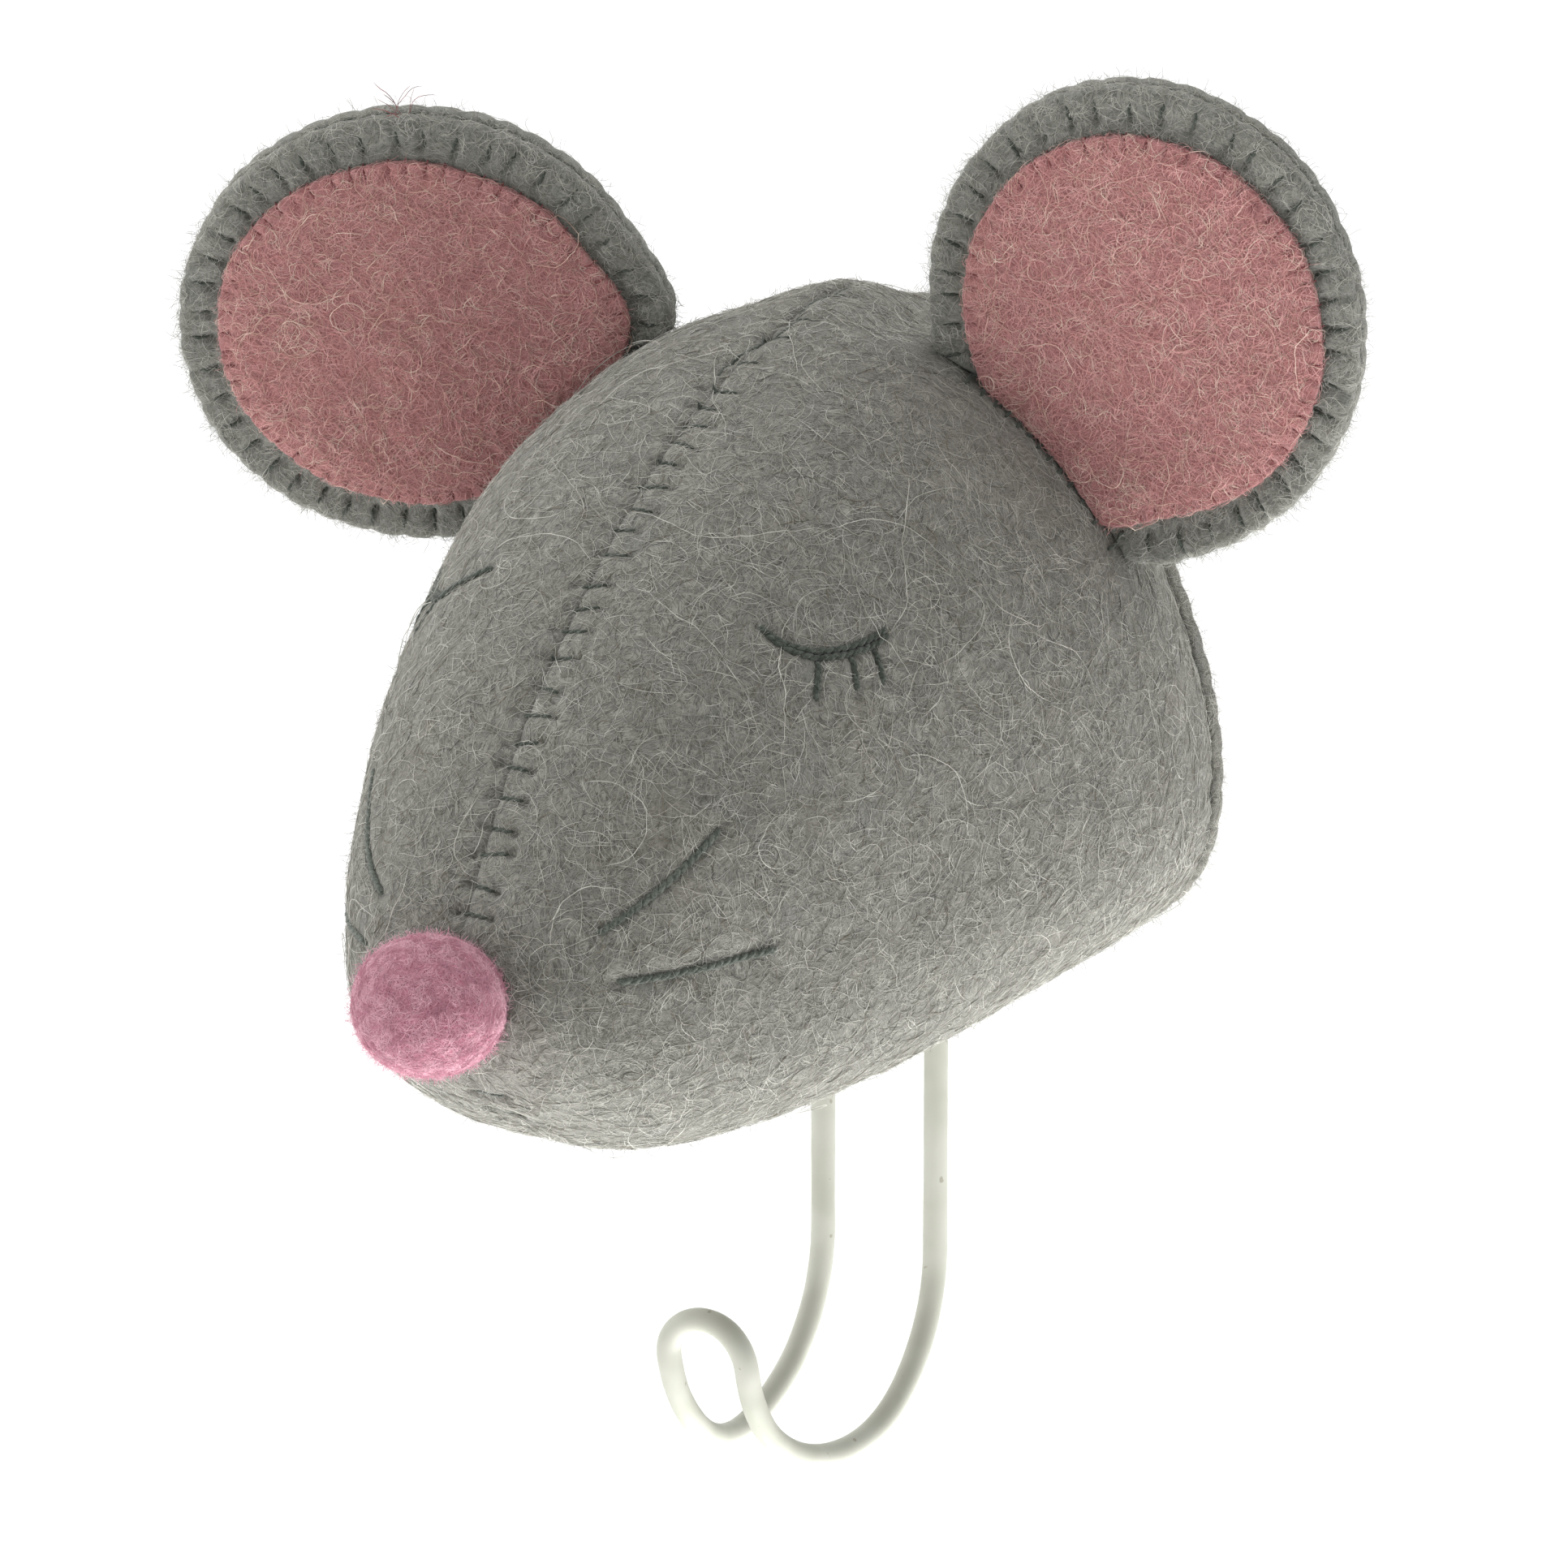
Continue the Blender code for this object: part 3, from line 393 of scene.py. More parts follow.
def seam_stitches(upper, first, last, step, seed):
    """Stitches over a seam: each is (t, how far it reaches to the +X side, to the -X side, slant)."""
    rng = np.random.default_rng(seed)
    seam = math.pi / 2 if upper else -math.pi / 2
    fine = np.linspace(t_at_depth(first), t_at_depth(last), 600)
    run = run_along(skin_point(fine, np.full(len(fine), seam)))
    count = int(run[-1] / step)
    marks = (np.arange(count) + 0.5 + rng.uniform(-0.14, 0.14, count)) * step
    spreads = [rng.uniform(*spread, count) * MM for spread in STITCH_SPREADS]
    return list(zip(np.interp(marks, run, fine), *spreads))


def bar_line(stitch, upper, steps=9):
    """A stitch's line over the felt, as (t, angle) arrays."""
    t, near, far, slant = stitch
    x = np.linspace(near, -far, steps)
    share = np.linspace(-0.5, 0.5, steps)
    places = t + slant * share * T_PER_METRE
    return places, beside_seam(places, x, upper)


def cheek_line(ends, side, steps):
    """A line over the cheek through (distance from the wall, height) places in millimetres."""
    ends = np.asarray(ends, float) * MM
    path = curve_through if len(ends) > 2 else resampled
    depth, height, _ = path(np.column_stack((ends, np.zeros(len(ends)))), steps).T
    t = t_at_depth(depth)
    angle = angle_at_height(t, height)
    return t, angle if side == "left" else math.pi - angle


TOP_STITCHES = seam_stitches(True, 46.0 * MM, 102.6 * MM, 3.6 * MM, 5)
CHIN_STITCHES = seam_stitches(False, 16.0 * MM, 101.0 * MM, 4.2 * MM, 6)
# The long loose stitch that runs along the crown, as (distance from the wall, distance to the +X side).
CROWN_THREAD = ((16.0, -0.6), (19.0, 0.4), (22.5, 0.5), (26.0, -0.3), (29.0, 0.4), (33.0, 1.0), (36.5, 0.1),
                (40.5, -0.8), (43.5, -1.5), (46.0, -1.0))
# Where the gathered felt of the crown stands up or sinks: rise, x and distance from the wall, half sizes in
# x and y.
CROWN_LUMPS = ((1.5, -1.0, 18.0, 6.5, 12.0), (-1.8, 9.5, 14.0, 4.5, 12.0))
CROWN_BARS = ((22.0, 2.6, 0.3), (30.5, 3.2, 0.2), (35.5, 3.4, 0.2), (42.0, 2.8, 1.2))


def crown_line(steps=90):
    flat = curve_through(np.column_stack((CROWN_THREAD, np.zeros(len(CROWN_THREAD)))) * MM, steps)
    t = t_at_depth(flat[:, 0])
    return t, beside_seam(t, flat[:, 1], True)


CROWN_STITCHES = [(float(t_at_depth(depth * MM)), near * MM, far * MM, 0.6 * MM)
                  for depth, near, far in CROWN_BARS]
ALL_BARS = ([bar_line(stitch, True) for stitch in TOP_STITCHES + CROWN_STITCHES]
            + [bar_line(stitch, False) for stitch in CHIN_STITCHES])


def furrow(points, line, depth, width):
    """How far a thread pulls the felt in at each point."""
    flat = points.reshape(-1, 3)
    low, high = line.min(axis=0) - 3 * width, line.max(axis=0) + 3 * width
    near = np.flatnonzero(np.all((flat > low) & (flat < high), axis=1))
    pull = np.zeros(len(flat))
    if len(near):
        a, b = line[:-1], line[1:]
        run = b - a
        from_a = flat[near, None] - a
        share = np.clip(np.sum(from_a * run, axis=-1) / np.maximum(np.sum(run * run, axis=-1), 1e-12), 0, 1)
        gap = np.linalg.norm(from_a - share[..., None] * run, axis=-1).min(axis=1)
        pull[near] = depth * np.exp(-(gap / width) ** 2)
    return pull.reshape(points.shape[:-1])


# ---- materials -----------------------------------------------------------------------------
def connect(tree, value, socket):
    """Link a node's output to a socket, or set the socket to a plain value."""
    if isinstance(value, bpy.types.NodeSocket):
        tree.links.new(value, socket)
    else:
        socket.default_value = value


def node(tree, kind, inputs=(), **settings):
    """A shader node; inputs maps a socket to a value or to another node's output."""
    made = tree.nodes.new(kind)
    for key, value in settings.items():
        setattr(made, key, value)
    for key, value in dict(inputs).items():
        connect(tree, value, made.inputs[key])
    return made


def calculated(tree, operation, *values):
    return node(tree, "ShaderNodeMath", dict(enumerate(values)), operation=operation).outputs[0]


def vector(tree, operation, *values):
    return node(tree, "ShaderNodeVectorMath", dict(values), operation=operation).outputs


def remapped(tree, value, low, high, to_low=0.0, to_high=1.0):
    inputs = {"Value": value, "From Min": low, "From Max": high, "To Min": to_low, "To Max": to_high}
    return node(tree, "ShaderNodeMapRange", inputs, interpolation_type="SMOOTHSTEP").outputs[0]


def opaque(value):
    """An RGB colour with its alpha; a node's output stays as it is."""
    return value if isinstance(value, bpy.types.NodeSocket) else (*value, 1.0)


def mixed(tree, share, first, second):
    """The colours first and second mixed by share."""
    made = node(tree, "ShaderNodeMix", data_type="RGBA")
    for number, value in ((0, share), (6, opaque(first)), (7, opaque(second))):
        connect(tree, value, made.inputs[number])
    return made.outputs[2]


def noise(tree, place, scale, detail=2.0, roughness=0.5, distortion=0.0, output=0):
    inputs = {"Vector": place, "Scale": scale, "Detail": detail, "Roughness": roughness,
              "Distortion": distortion}
    return node(tree, "ShaderNodeTexNoise", inputs).outputs[output]


def new_material(name, **constants):
    """A material with its node tree, its shader and the object's own coordinates."""
    made = bpy.data.materials.new(name)
    made.use_nodes = True
    tree = made.node_tree
    shader = tree.nodes["Principled BSDF"]
    for key, value in constants.items():
        shader.inputs[key.replace("_", " ")].default_value = value
    return made, tree, shader, node(tree, "ShaderNodeTexCoord").outputs["Object"]


def surface(tree, shader, body, height=None, strength=0.0, distance=0.0):
    """Give the shader its colour, and a bump from a height."""
    tree.links.new(body, shader.inputs["Base Color"])
    if height is not None:
        bump = node(tree, "ShaderNodeBump", {"Height": height, "Strength": strength, "Distance": distance})
        tree.links.new(bump.outputs[0], shader.inputs["Normal"])


CURLS = ((170.0, 0.0042), (620.0, 0.0009))      # noise scale and reach of the bends in the felt's fibres
LAY_DIRECTIONS = ((85.0, 10.0, 0.0), (25.0, -12.0, 20.0), (130.0, 8.0, -15.0), (60.0, 75.0, 10.0),
                  (10.0, 80.0, 40.0))


def curly_place(tree, place):
    """The surface's own coordinates, bent so that straight patterns come out curly."""
    for scale, reach in CURLS:
        bend = noise(tree, place, scale, 1.0, output="Color")
        centred = vector(tree, "SUBTRACT", (0, bend), (1, (0.5, 0.5, 0.5)))[0]
        moved = vector(tree, "SCALE", (0, centred), (3, reach * 2))[0]
        place = vector(tree, "ADD", (0, place), (1, moved))[0]
    return place


def fibre_network(tree, place, fineness):
    """Crossing layers of thin curly lines, brightest on a fibre and 0 between fibres."""
    total = None
    for k, turn in enumerate(LAY_DIRECTIONS):
        inputs = {"Vector": place, "Location": (0.031 * k, 0.017 * k, 0.023 * k),
                  "Rotation": [math.radians(angle) for angle in turn], "Scale": (1.0, 1.0, 6.0)}
        shifted = node(tree, "ShaderNodeMapping", inputs, vector_type="TEXTURE").outputs[0]
        field = noise(tree, shifted, (1700.0 + 300.0 * k) * fineness, 1.5, 0.6)
        off = calculated(tree, "ABSOLUTE", calculated(tree, "SUBTRACT", field, 0.5))
        line = remapped(tree, off, 0.0, 0.06, 1.0, 0.0)
        total = line if total is None else calculated(tree, "ADD", total, line)
    return total


def felt_material(name, dark, middle, pale, warm, cool, sheen, tint, fineness=1.0, flecks=0.5):
    """Wool felt: pale crossing fibres over pits darkened with painted shade, with patches of a warmer and a
    cooler tone.
    """
    made, tree, shader, own = new_material(name, Roughness=1.0, Sheen_Weight=sheen, Sheen_Roughness=0.55,
                                           Sheen_Tint=opaque(tint), Specular_IOR_Level=0.12)
    place = curly_place(tree, own)
    network = fibre_network(tree, place, fineness)
    pits_with_painted_shade = noise(tree, place, 1150.0 * fineness, 2.5, 0.65)
    # The pits take the dark colour: painted shade in the hollows that the bump below sinks.
    body = mixed(tree, remapped(tree, pits_with_painted_shade, 0.36, 0.62), dark, middle)
    thick = remapped(tree, noise(tree, own, 900.0, 2.0, 0.6), 0.3, 0.7, 0.45, 1.0)
    share = calculated(tree, "MULTIPLY", remapped(tree, network, 0.2, 1.9), thick)
    body = mixed(tree, share, body, pale)
    drift = noise(tree, own, 95.0, 3.0, 0.6)
    body = mixed(tree, remapped(tree, drift, 0.52, 0.8, 0.0, 0.4), body, warm)
    other = noise(tree, own, 140.0, 3.0, 0.6, 0.4)
    body = mixed(tree, remapped(tree, other, 0.55, 0.85, 0.0, 0.4), body, cool)
    fleck = remapped(tree, noise(tree, place, 950.0 * fineness, 1.0), 0.6, 0.74, 0.0, flecks)
    height = calculated(tree, "ADD", calculated(tree, "MULTIPLY", network, 0.5), pits_with_painted_shade)
    surface(tree, shader, mixed(tree, fleck, body, dark), height, 0.55, 0.00022)
    return made


def fibre_material(name, shade, variation):
    """A loose wool fibre, whose shade drifts along it."""
    made, tree, shader, own = new_material(name, Roughness=0.7, Sheen_Weight=0.3, Specular_IOR_Level=0.3)
    drift = noise(tree, own, 520.0, 1.0)
    surface(tree, shader, mixed(tree, remapped(tree, drift, 0.4, 0.6), shade, variation))
    return made


def thread_material(name, shade, painted_groove_shade):
    """Twisted thread: fine strands, with painted shade darkening the grooves between them."""
    made, tree, shader, own = new_material(name, Roughness=0.85, Sheen_Weight=0.25, Specular_IOR_Level=0.25)
    strands = noise(tree, own, 2600.0, 2.0, 0.7, 0.6)
    # The grooves of the bump get the darker colour: painted shade between the strands.
    surface(tree, shader, mixed(tree, remapped(tree, strands, 0.35, 0.65), painted_groove_shade, shade), strands, 0.6, 0.0001)
    return made


def wire_material():
    """Off-white dipped coating: satin, a little uneven, with a few specks."""
    made, tree, shader, own = new_material("coated_wire_look", Roughness=0.5, Specular_IOR_Level=0.15)
    drift = remapped(tree, noise(tree, own, 120.0), 0.35, 0.7)
    body = mixed(tree, drift, (0.385, 0.39, 0.332), (0.44, 0.445, 0.39))
    speck = remapped(tree, noise(tree, own, 900.0, 0.0), 0.80, 0.85, 0.0, 0.6)
    gloss = remapped(tree, noise(tree, own, 400.0), 0.3, 0.7, 0.4, 0.6)
    tree.links.new(gloss, shader.inputs["Roughness"])
    surface(tree, shader, mixed(tree, speck, body, (0.22, 0.2, 0.15)), noise(tree, own, 260.0), 0.25, 0.0003)
    return made


def drawn_material(name, stretch, scale, detail, distortion, shades, bump, gloss=None, **constants):
    """Wood or metal with a grain drawn out along one axis."""
    made, tree, shader, own = new_material(name, **constants)
    drawn = node(tree, "ShaderNodeMapping", {"Vector": own, "Scale": stretch}).outputs[0]
    grain = noise(tree, drawn, scale, detail, 0.6, distortion)
    if gloss is not None:
        tree.links.new(remapped(tree, grain, 0.3, 0.7, *gloss), shader.inputs["Roughness"])
    surface(tree, shader, mixed(tree, remapped(tree, grain, 0.3, 0.7), *shades), grain, *bump)
    return made


WOOL_SHEEN = (0.9, 0.89, 0.84)
# Each felt's first colour is the painted shade of its pits, and also the colour of its dark flecks.
GREY_FELT = felt_material("grey_felt_look", (0.075, 0.073, 0.060), (0.148, 0.146, 0.128), (0.30, 0.297, 0.262),
                          (0.20, 0.185, 0.145), (0.145, 0.153, 0.152), 0.32, WOOL_SHEEN)
EAR_FELT = felt_material("ear_felt_look", (0.082, 0.083, 0.07), (0.157, 0.159, 0.141), (0.29, 0.292, 0.26),
                         (0.175, 0.17, 0.13), (0.135, 0.145, 0.135), 0.35, WOOL_SHEEN)
PINK_LOOK = felt_material("pink_felt_look", (0.27, 0.093, 0.093), (0.37, 0.149, 0.149), (0.52, 0.26, 0.254),
                          (0.40, 0.18, 0.14), (0.36, 0.155, 0.175), 0.3, (1.0, 0.86, 0.84),
                          fineness=1.7, flecks=0.7)
NOSE_LOOK = felt_material("nose_wool_look", (0.30, 0.08, 0.13), (0.45, 0.15, 0.215), (0.64, 0.33, 0.40),
                          (0.48, 0.17, 0.22), (0.50, 0.19, 0.28), 0.6, (1.0, 0.85, 0.9),
                          fineness=0.7, flecks=0.6)
WADDING_LOOK = felt_material("wadding_look", (0.55, 0.54, 0.5), (0.75, 0.74, 0.7), (0.85, 0.84, 0.8),
                             (0.78, 0.75, 0.68), (0.7, 0.72, 0.72), 0.2, (1.0, 1.0, 1.0), fineness=0.5)
# The second colour of each thread is the painted shade of its grooves.
DARK_THREAD = thread_material("dark_thread_look", (0.075, 0.087, 0.072), (0.028, 0.034, 0.026))
SOFT_THREAD = thread_material("soft_thread_look", (0.115, 0.13, 0.108), (0.045, 0.053, 0.043))
PINK_THREAD = thread_material("pink_thread_look", (0.30, 0.10, 0.10), (0.13, 0.035, 0.035))
PALE_FIBRE = fibre_material("pale_fibre_look", (0.60, 0.59, 0.53), (0.42, 0.41, 0.36))
MID_FIBRE = fibre_material("mid_fibre_look", (0.36, 0.355, 0.32), (0.24, 0.235, 0.20))
DARK_FIBRE = fibre_material("dark_fibre_look", (0.075, 0.072, 0.055), (0.15, 0.13, 0.085))
PINK_FIBRE = fibre_material("pink_fibre_look", (0.73, 0.40, 0.38), (0.64, 0.315, 0.30))
CREAM_FIBRE = fibre_material("cream_fibre_look", (0.82, 0.66, 0.55), (0.70, 0.47, 0.38))
ROSE_FIBRE = fibre_material("rose_fibre_look", (0.76, 0.44, 0.52), (0.58, 0.26, 0.34))
RED_FIBRE = fibre_material("red_fibre_look", (0.25, 0.04, 0.04), (0.10, 0.03, 0.03))
WIRE_LOOK = wire_material()
WOOD_LOOK = drawn_material("plywood_look", (1.0, 1.0, 0.08), 900.0, 4.0, 0.8,
                           ((0.42, 0.27, 0.14), (0.66, 0.5, 0.32)), (0.3, 0.0002), Roughness=0.65)
STEEL_LOOK = drawn_material("plated_steel_look", (0.06, 1.0, 1.0), 2600.0, 3.0, 0.0,
                            ((0.52, 0.52, 0.5), (0.72, 0.72, 0.71)), (0.2, 0.00005), gloss=(0.25, 0.45),
                            Metallic=1.0)


# ---- fibres --------------------------------------------------------------------------------
def mesh_arrays(obj):
    mesh = obj.data
    verts = np.empty(len(mesh.vertices) * 3, np.float32)
    mesh.vertices.foreach_get("co", verts)
    mesh.calc_loop_triangles()
    corners = np.empty(len(mesh.loop_triangles) * 3, np.int32)
    mesh.loop_triangles.foreach_get("vertices", corners)
    return verts.reshape(-1, 3).astype(float), corners.reshape(-1, 3)


def tree_of(*objs):
    """A search tree over the surfaces of some meshes."""
    verts, corners, start = [], [], 0
    for obj in objs:
        more, faces = mesh_arrays(obj)
        verts.append(more)
        corners.append(faces + start)
        start += len(more)
    return BVHTree.FromPolygons(np.concatenate(verts).tolist(), np.concatenate(corners).tolist())


def seeds_on(obj, count, rng, keep=None):
    """Random places on a mesh, even over its area, with their normals; keep weighs points and normals."""
    verts, corners = mesh_arrays(obj)
    a, b, c = (verts[corners[:, k]] for k in range(3))
    across = np.cross(b - a, c - a)
    area = np.linalg.norm(across, axis=1)
    if keep is not None:
        area = area * keep((a + b + c) / 3, unit(across))
    pick = rng.choice(len(area), count, p=area / area.sum())
    u, v = rng.random(count), rng.random(count)
    over = u + v > 1
    u[over], v[over] = 1 - u[over], 1 - v[over]
    points = a[pick] + u[:, None] * (b - a)[pick] + v[:, None] * (c - a)[pick]
    return points, unit(across[pick])


def laid_fibres(tree, seeds, normals, length, lift, curl, steps, rng):
    """Paths of fibres that wander over a surface, each lifted off it by a little along its way."""
    count = len(seeds)
    loose = rng.normal(size=(count, 3))
    along = unit(loose - normals * np.sum(loose * normals, axis=1, keepdims=True))
    stride = rng.uniform(*length, count) / (steps - 1)
    bend = rng.normal(0.0, curl, count)
    paths, ups = np.empty((count, steps, 3)), np.empty((count, steps, 3))
    here, up = seeds.copy(), normals.copy()
    for k in range(steps):
        paths[:, k], ups[:, k] = here, up
        swing = bend + rng.normal(0.0, curl, count)
        side = np.cross(up, along)
        along = unit(along * np.cos(swing)[:, None] + side * np.sin(swing)[:, None])
        target = here + along * stride[:, None]
        for i, place in enumerate(target):
            target[i], up[i], _, _ = tree.find_nearest(place)
        along = unit(target - here)
        along = unit(along - up * np.sum(along * up, axis=1, keepdims=True))
        here = target
    share = np.linspace(0, 1, steps)
    arch = np.sin(math.pi * share) ** 0.7
    wave = 0.5 + 0.5 * np.sin(rng.uniform(0, 6.3, (count, 1)) + share * rng.uniform(2, 9, (count, 1)))
    height = rng.uniform(*lift, (count, 1)) * arch * wave
    return paths + ups * (height[..., None] + 0.02 * MM), ups


def standing_fibres(seeds, normals, length, lean, curl, steps, rng):
    """Paths of short fibres that stand off a surface and curl over."""
    count = len(seeds)
    aside = rng.normal(size=(count, 3))
    aside = unit(aside - normals * np.sum(aside * normals, axis=1, keepdims=True))
    tilt = rng.uniform(*lean, count)
    along = normals * np.cos(tilt)[:, None] + aside * np.sin(tilt)[:, None]
    stride = rng.uniform(*length, count) / (steps - 1)
    axis = unit(rng.normal(size=(count, 3)))
    paths = np.empty((count, steps, 3))
    here = seeds - normals * 0.15 * MM
    for k in range(steps):
        paths[:, k] = here
        swing = rng.normal(curl, curl, count)[:, None]
        along = unit(along + np.cross(axis, along) * swing + rng.normal(0, 0.12, (count, 3)))
        here = here + along * stride[:, None]
    return paths


def in_metres(*millimetres):
    return tuple(value * MM for value in millimetres)


class Nap:
    """The loose fibres of one piece of felt, which move with it. Their sizes are in millimetres."""
    FUZZ_RADIUS = 0.022

    def __init__(self, piece, tree, rng, slot, ear=None):
        self.piece, self.tree, self.rng, self.slot, self.ear = piece, tree, rng, slot, ear

    def finish(self, name, paths, radius, look, ups=None):
        """All the fibres along the paths as one piece, thin at their ends."""
        count, steps = paths.shape[:2]
        thin = np.sin(np.linspace(0.12, math.pi - 0.12, steps)) ** 0.35
        radii = self.rng.uniform(0.7, 1.3, (count, 1)) * (radius * MM) * thin
        piece = add_mesh(name, *tubes(paths, radii, 3, ups), look)
        if self.ear is None:
            on_head(piece, self.slot)
        else:
            self.ear.attach(piece, self.slot)

    def lay(self, name, count, keep, length, lift, curl, radius, look, steps=8):
        seeds, normals = seeds_on(self.piece, count, self.rng, keep)
        paths, ups = laid_fibres(self.tree, seeds, normals, in_metres(*length), in_metres(*lift), curl, steps,
                                 self.rng)
        self.finish(name, paths, radius, look, ups)

    def stand(self, name, count, keep, length, lean, curl, look, steps=7, limit_y=None):
        seeds, normals = seeds_on(self.piece, count, self.rng, keep)
        paths = standing_fibres(seeds, normals, in_metres(*length), lean, curl, steps, self.rng)
        if limit_y is not None:
            paths[..., 1] = np.minimum(paths[..., 1], limit_y)
        self.finish(name, paths, self.FUZZ_RADIUS, look)


# ---- threads -------------------------------------------------------------------------------
DRAPE_FROM, DRAPE_REACH = 4 * MM, 9 * MM      # where a ray that looks for the felt starts, and its length
PLIES = 2
SINK_RUN = 1.1 * MM                           # over which a stitch's end goes down into the felt


def draped(tree, points, normals, lift):
    """Points moved along their normals to lie that far over a surface."""
    lift = np.broadcast_to(lift, len(points))
    out = np.empty_like(points)
    for i, (point, normal) in enumerate(zip(points, normals)):
        hit = tree.ray_cast(Vector(point + normal * DRAPE_FROM), Vector(-normal), DRAPE_REACH)[0]
        out[i] = (np.array(hit) if hit is not None else point) + normal * lift[i]
    return out


def plied(points, ups, width, twist=2.3 * MM, sides=6):
    """Twisted plies along one path, as a (verts, groups) body for each ply."""
    run = run_along(points)
    along = unit(np.gradient(points, axis=0))
    side = unit(np.cross(along, ups))
    up = np.cross(side, along)
    thin = np.clip(np.minimum(run, run[-1] - run) / (0.5 * MM), 0.5, 1.0)
    bodies = []
    for ply in range(PLIES):
        turn = 2 * math.pi * (run / twist + ply / PLIES)
        path = points + width * 0.18 * (side * np.cos(turn)[:, None] + up * np.sin(turn)[:, None])
        bodies.append(tubes(path[None], (width * 0.33 * thin)[None], sides, up[None]))
    return bodies


def sunk_line(tree, points, normals, depth, lift):
    """A stitch's path: in from below the surface, over it, and down again."""
    run = run_along(points)
    ends = np.minimum(run, run[-1] - run) / SINK_RUN
    return draped(tree, points, normals, lift - depth * (1 - smooth_step(ends)))


# ---- head ----------------------------------------------------------------------------------
def on_head(piece, slot, *nodes):
    """piece rides on the head, in place of the CAD nodes."""
    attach(piece, "head")
    if nodes:
        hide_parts(*nodes)


def row_depths():
    """Section parameters of the head's visual skin, denser at the back edge."""
    edge = float(t_at_depth(BACK_EDGE))
    near = np.linspace(edge, edge + 0.03, 10, endpoint=False)
    rows = 235
    return np.concatenate((near, np.linspace(edge + 0.03, 0.994, rows)))


def column_angles():
    """Section angles from the top seam to the chin seam, denser beside the seams."""
    columns = 165
    share = np.linspace(-1, 1, columns)
    eased = 0.72 * share + 0.28 * np.sign(share) * (1 - (1 - np.abs(share)) ** 3)
    return -eased * math.pi / 2


EDGE_STITCH_STEP = 4.3 * MM
# How a thread pulls the felt in along its line: depth and half width of the furrow, in millimetres.
BAR_FURROW, CROWN_FURROW = (0.32, 0.6), (0.3, 0.7)
LID_FURROW, LASH_FURROW, WHISKER_FURROW = (0.5, 1.1), (0.35, 0.7), (0.5, 0.8)
TOP_PIT, CHIN_PIT = 0.5 * MM, 0.9 * MM        # depth of the pits at a stitch's ends


def edge_pinches(angle):
    """1 where a stitch of the back edge pulls the felt in, 0 between stitches; and the stitches' angles."""
    fine = np.linspace(0, 2 * math.pi, 721)
    run = run_along(skin_point(np.full(721, t_at_depth(BACK_EDGE)), fine))
    count = round(run[-1] / EDGE_STITCH_STEP)
    step = run[-1] / count
    place = np.interp(np.mod(angle, 2 * math.pi), fine, run) / step
    marks = np.interp((np.arange(count) + 0.5) * step, run, fine)
    return np.exp(-((place - np.floor(place) - 0.5) * step / (0.75 * MM)) ** 2), marks


def face_lines():
    """Every embroidered line of the face with its furrow."""
    for side in SIDES:
        yield cheek_line(EYES[side]["lid"], side, 16), LID_FURROW
        for lash in EYES[side]["lashes"]:
            yield cheek_line(lash, side, 5), LASH_FURROW
        for ends in WHISKERS[side].values():
            yield cheek_line(ends, side, 8), WHISKER_FURROW


def bell(distance, width):
    return np.exp(-(distance / width) ** 2)


def relief(points, angle):
    """How far the felt stands off the head's smooth surface."""
    height = 0.42 * MM * lumps(points, 19 * MM, 3) + 0.16 * MM * lumps(points, 5.5 * MM, 4)
    height = height + 0.07 * MM * lumps(points, 1.9 * MM, 8)
    seam = np.abs(points[..., 0])
    height -= 0.28 * MM * bell(seam, 0.9 * MM) + 0.22 * MM * bell(seam, 4.5 * MM)
    for bar in ALL_BARS:
        line = skin_point(*bar)
        height -= furrow(points, line, *in_metres(*BAR_FURROW))
        for end in (line[:1], line[-1:]):
            height -= furrow(points, end + np.zeros((2, 1)), TOP_PIT if line[0, 2] > 0 else CHIN_PIT, 0.6 * MM)
    for line, size in ((crown_line(30), CROWN_FURROW), *face_lines()):
        height -= furrow(points, skin_point(*line), *in_metres(*size))
    depth = -points[..., 1]
    for rise, x, far, wide, long in CROWN_LUMPS:
        apart = ((points[..., 0] / MM - x) / wide) ** 2 + ((depth / MM - far) / long) ** 2
        height += rise * MM * np.exp(-apart) * (points[..., 2] > 0)
    pinch, _ = edge_pinches(angle)
    near_edge = bell(depth - BACK_EDGE, 2.0 * MM)
    height -= 0.22 * MM * pinch * near_edge
    height += 0.08 * MM * (1 - pinch) * near_edge
    rounding = np.clip(1 - (depth - BACK_EDGE) / (1.3 * MM), 0, 1)
    return height - 1.1 * MM * (1 - np.sqrt(1 - rounding ** 2))


def wire_hole(side, sign):
    """The hole in a side panel that a wire passes through, as a cutter."""
    turn = np.linspace(0, 2 * math.pi, 24, endpoint=False)
    radius = WIRE_RADIUS + 0.12 * MM
    ring = np.stack((sign * LEG_X + radius * np.cos(turn), WIRE_Y + radius * np.sin(turn), 0 * turn), axis=-1)
    rings = np.stack([ring + (0, 0, z) for z in (-36 * MM, -54 * MM)])
    return add_mesh(f"wire_hole_{side}", *turned(rings, *rings.mean(axis=1)), GREY_FELT)


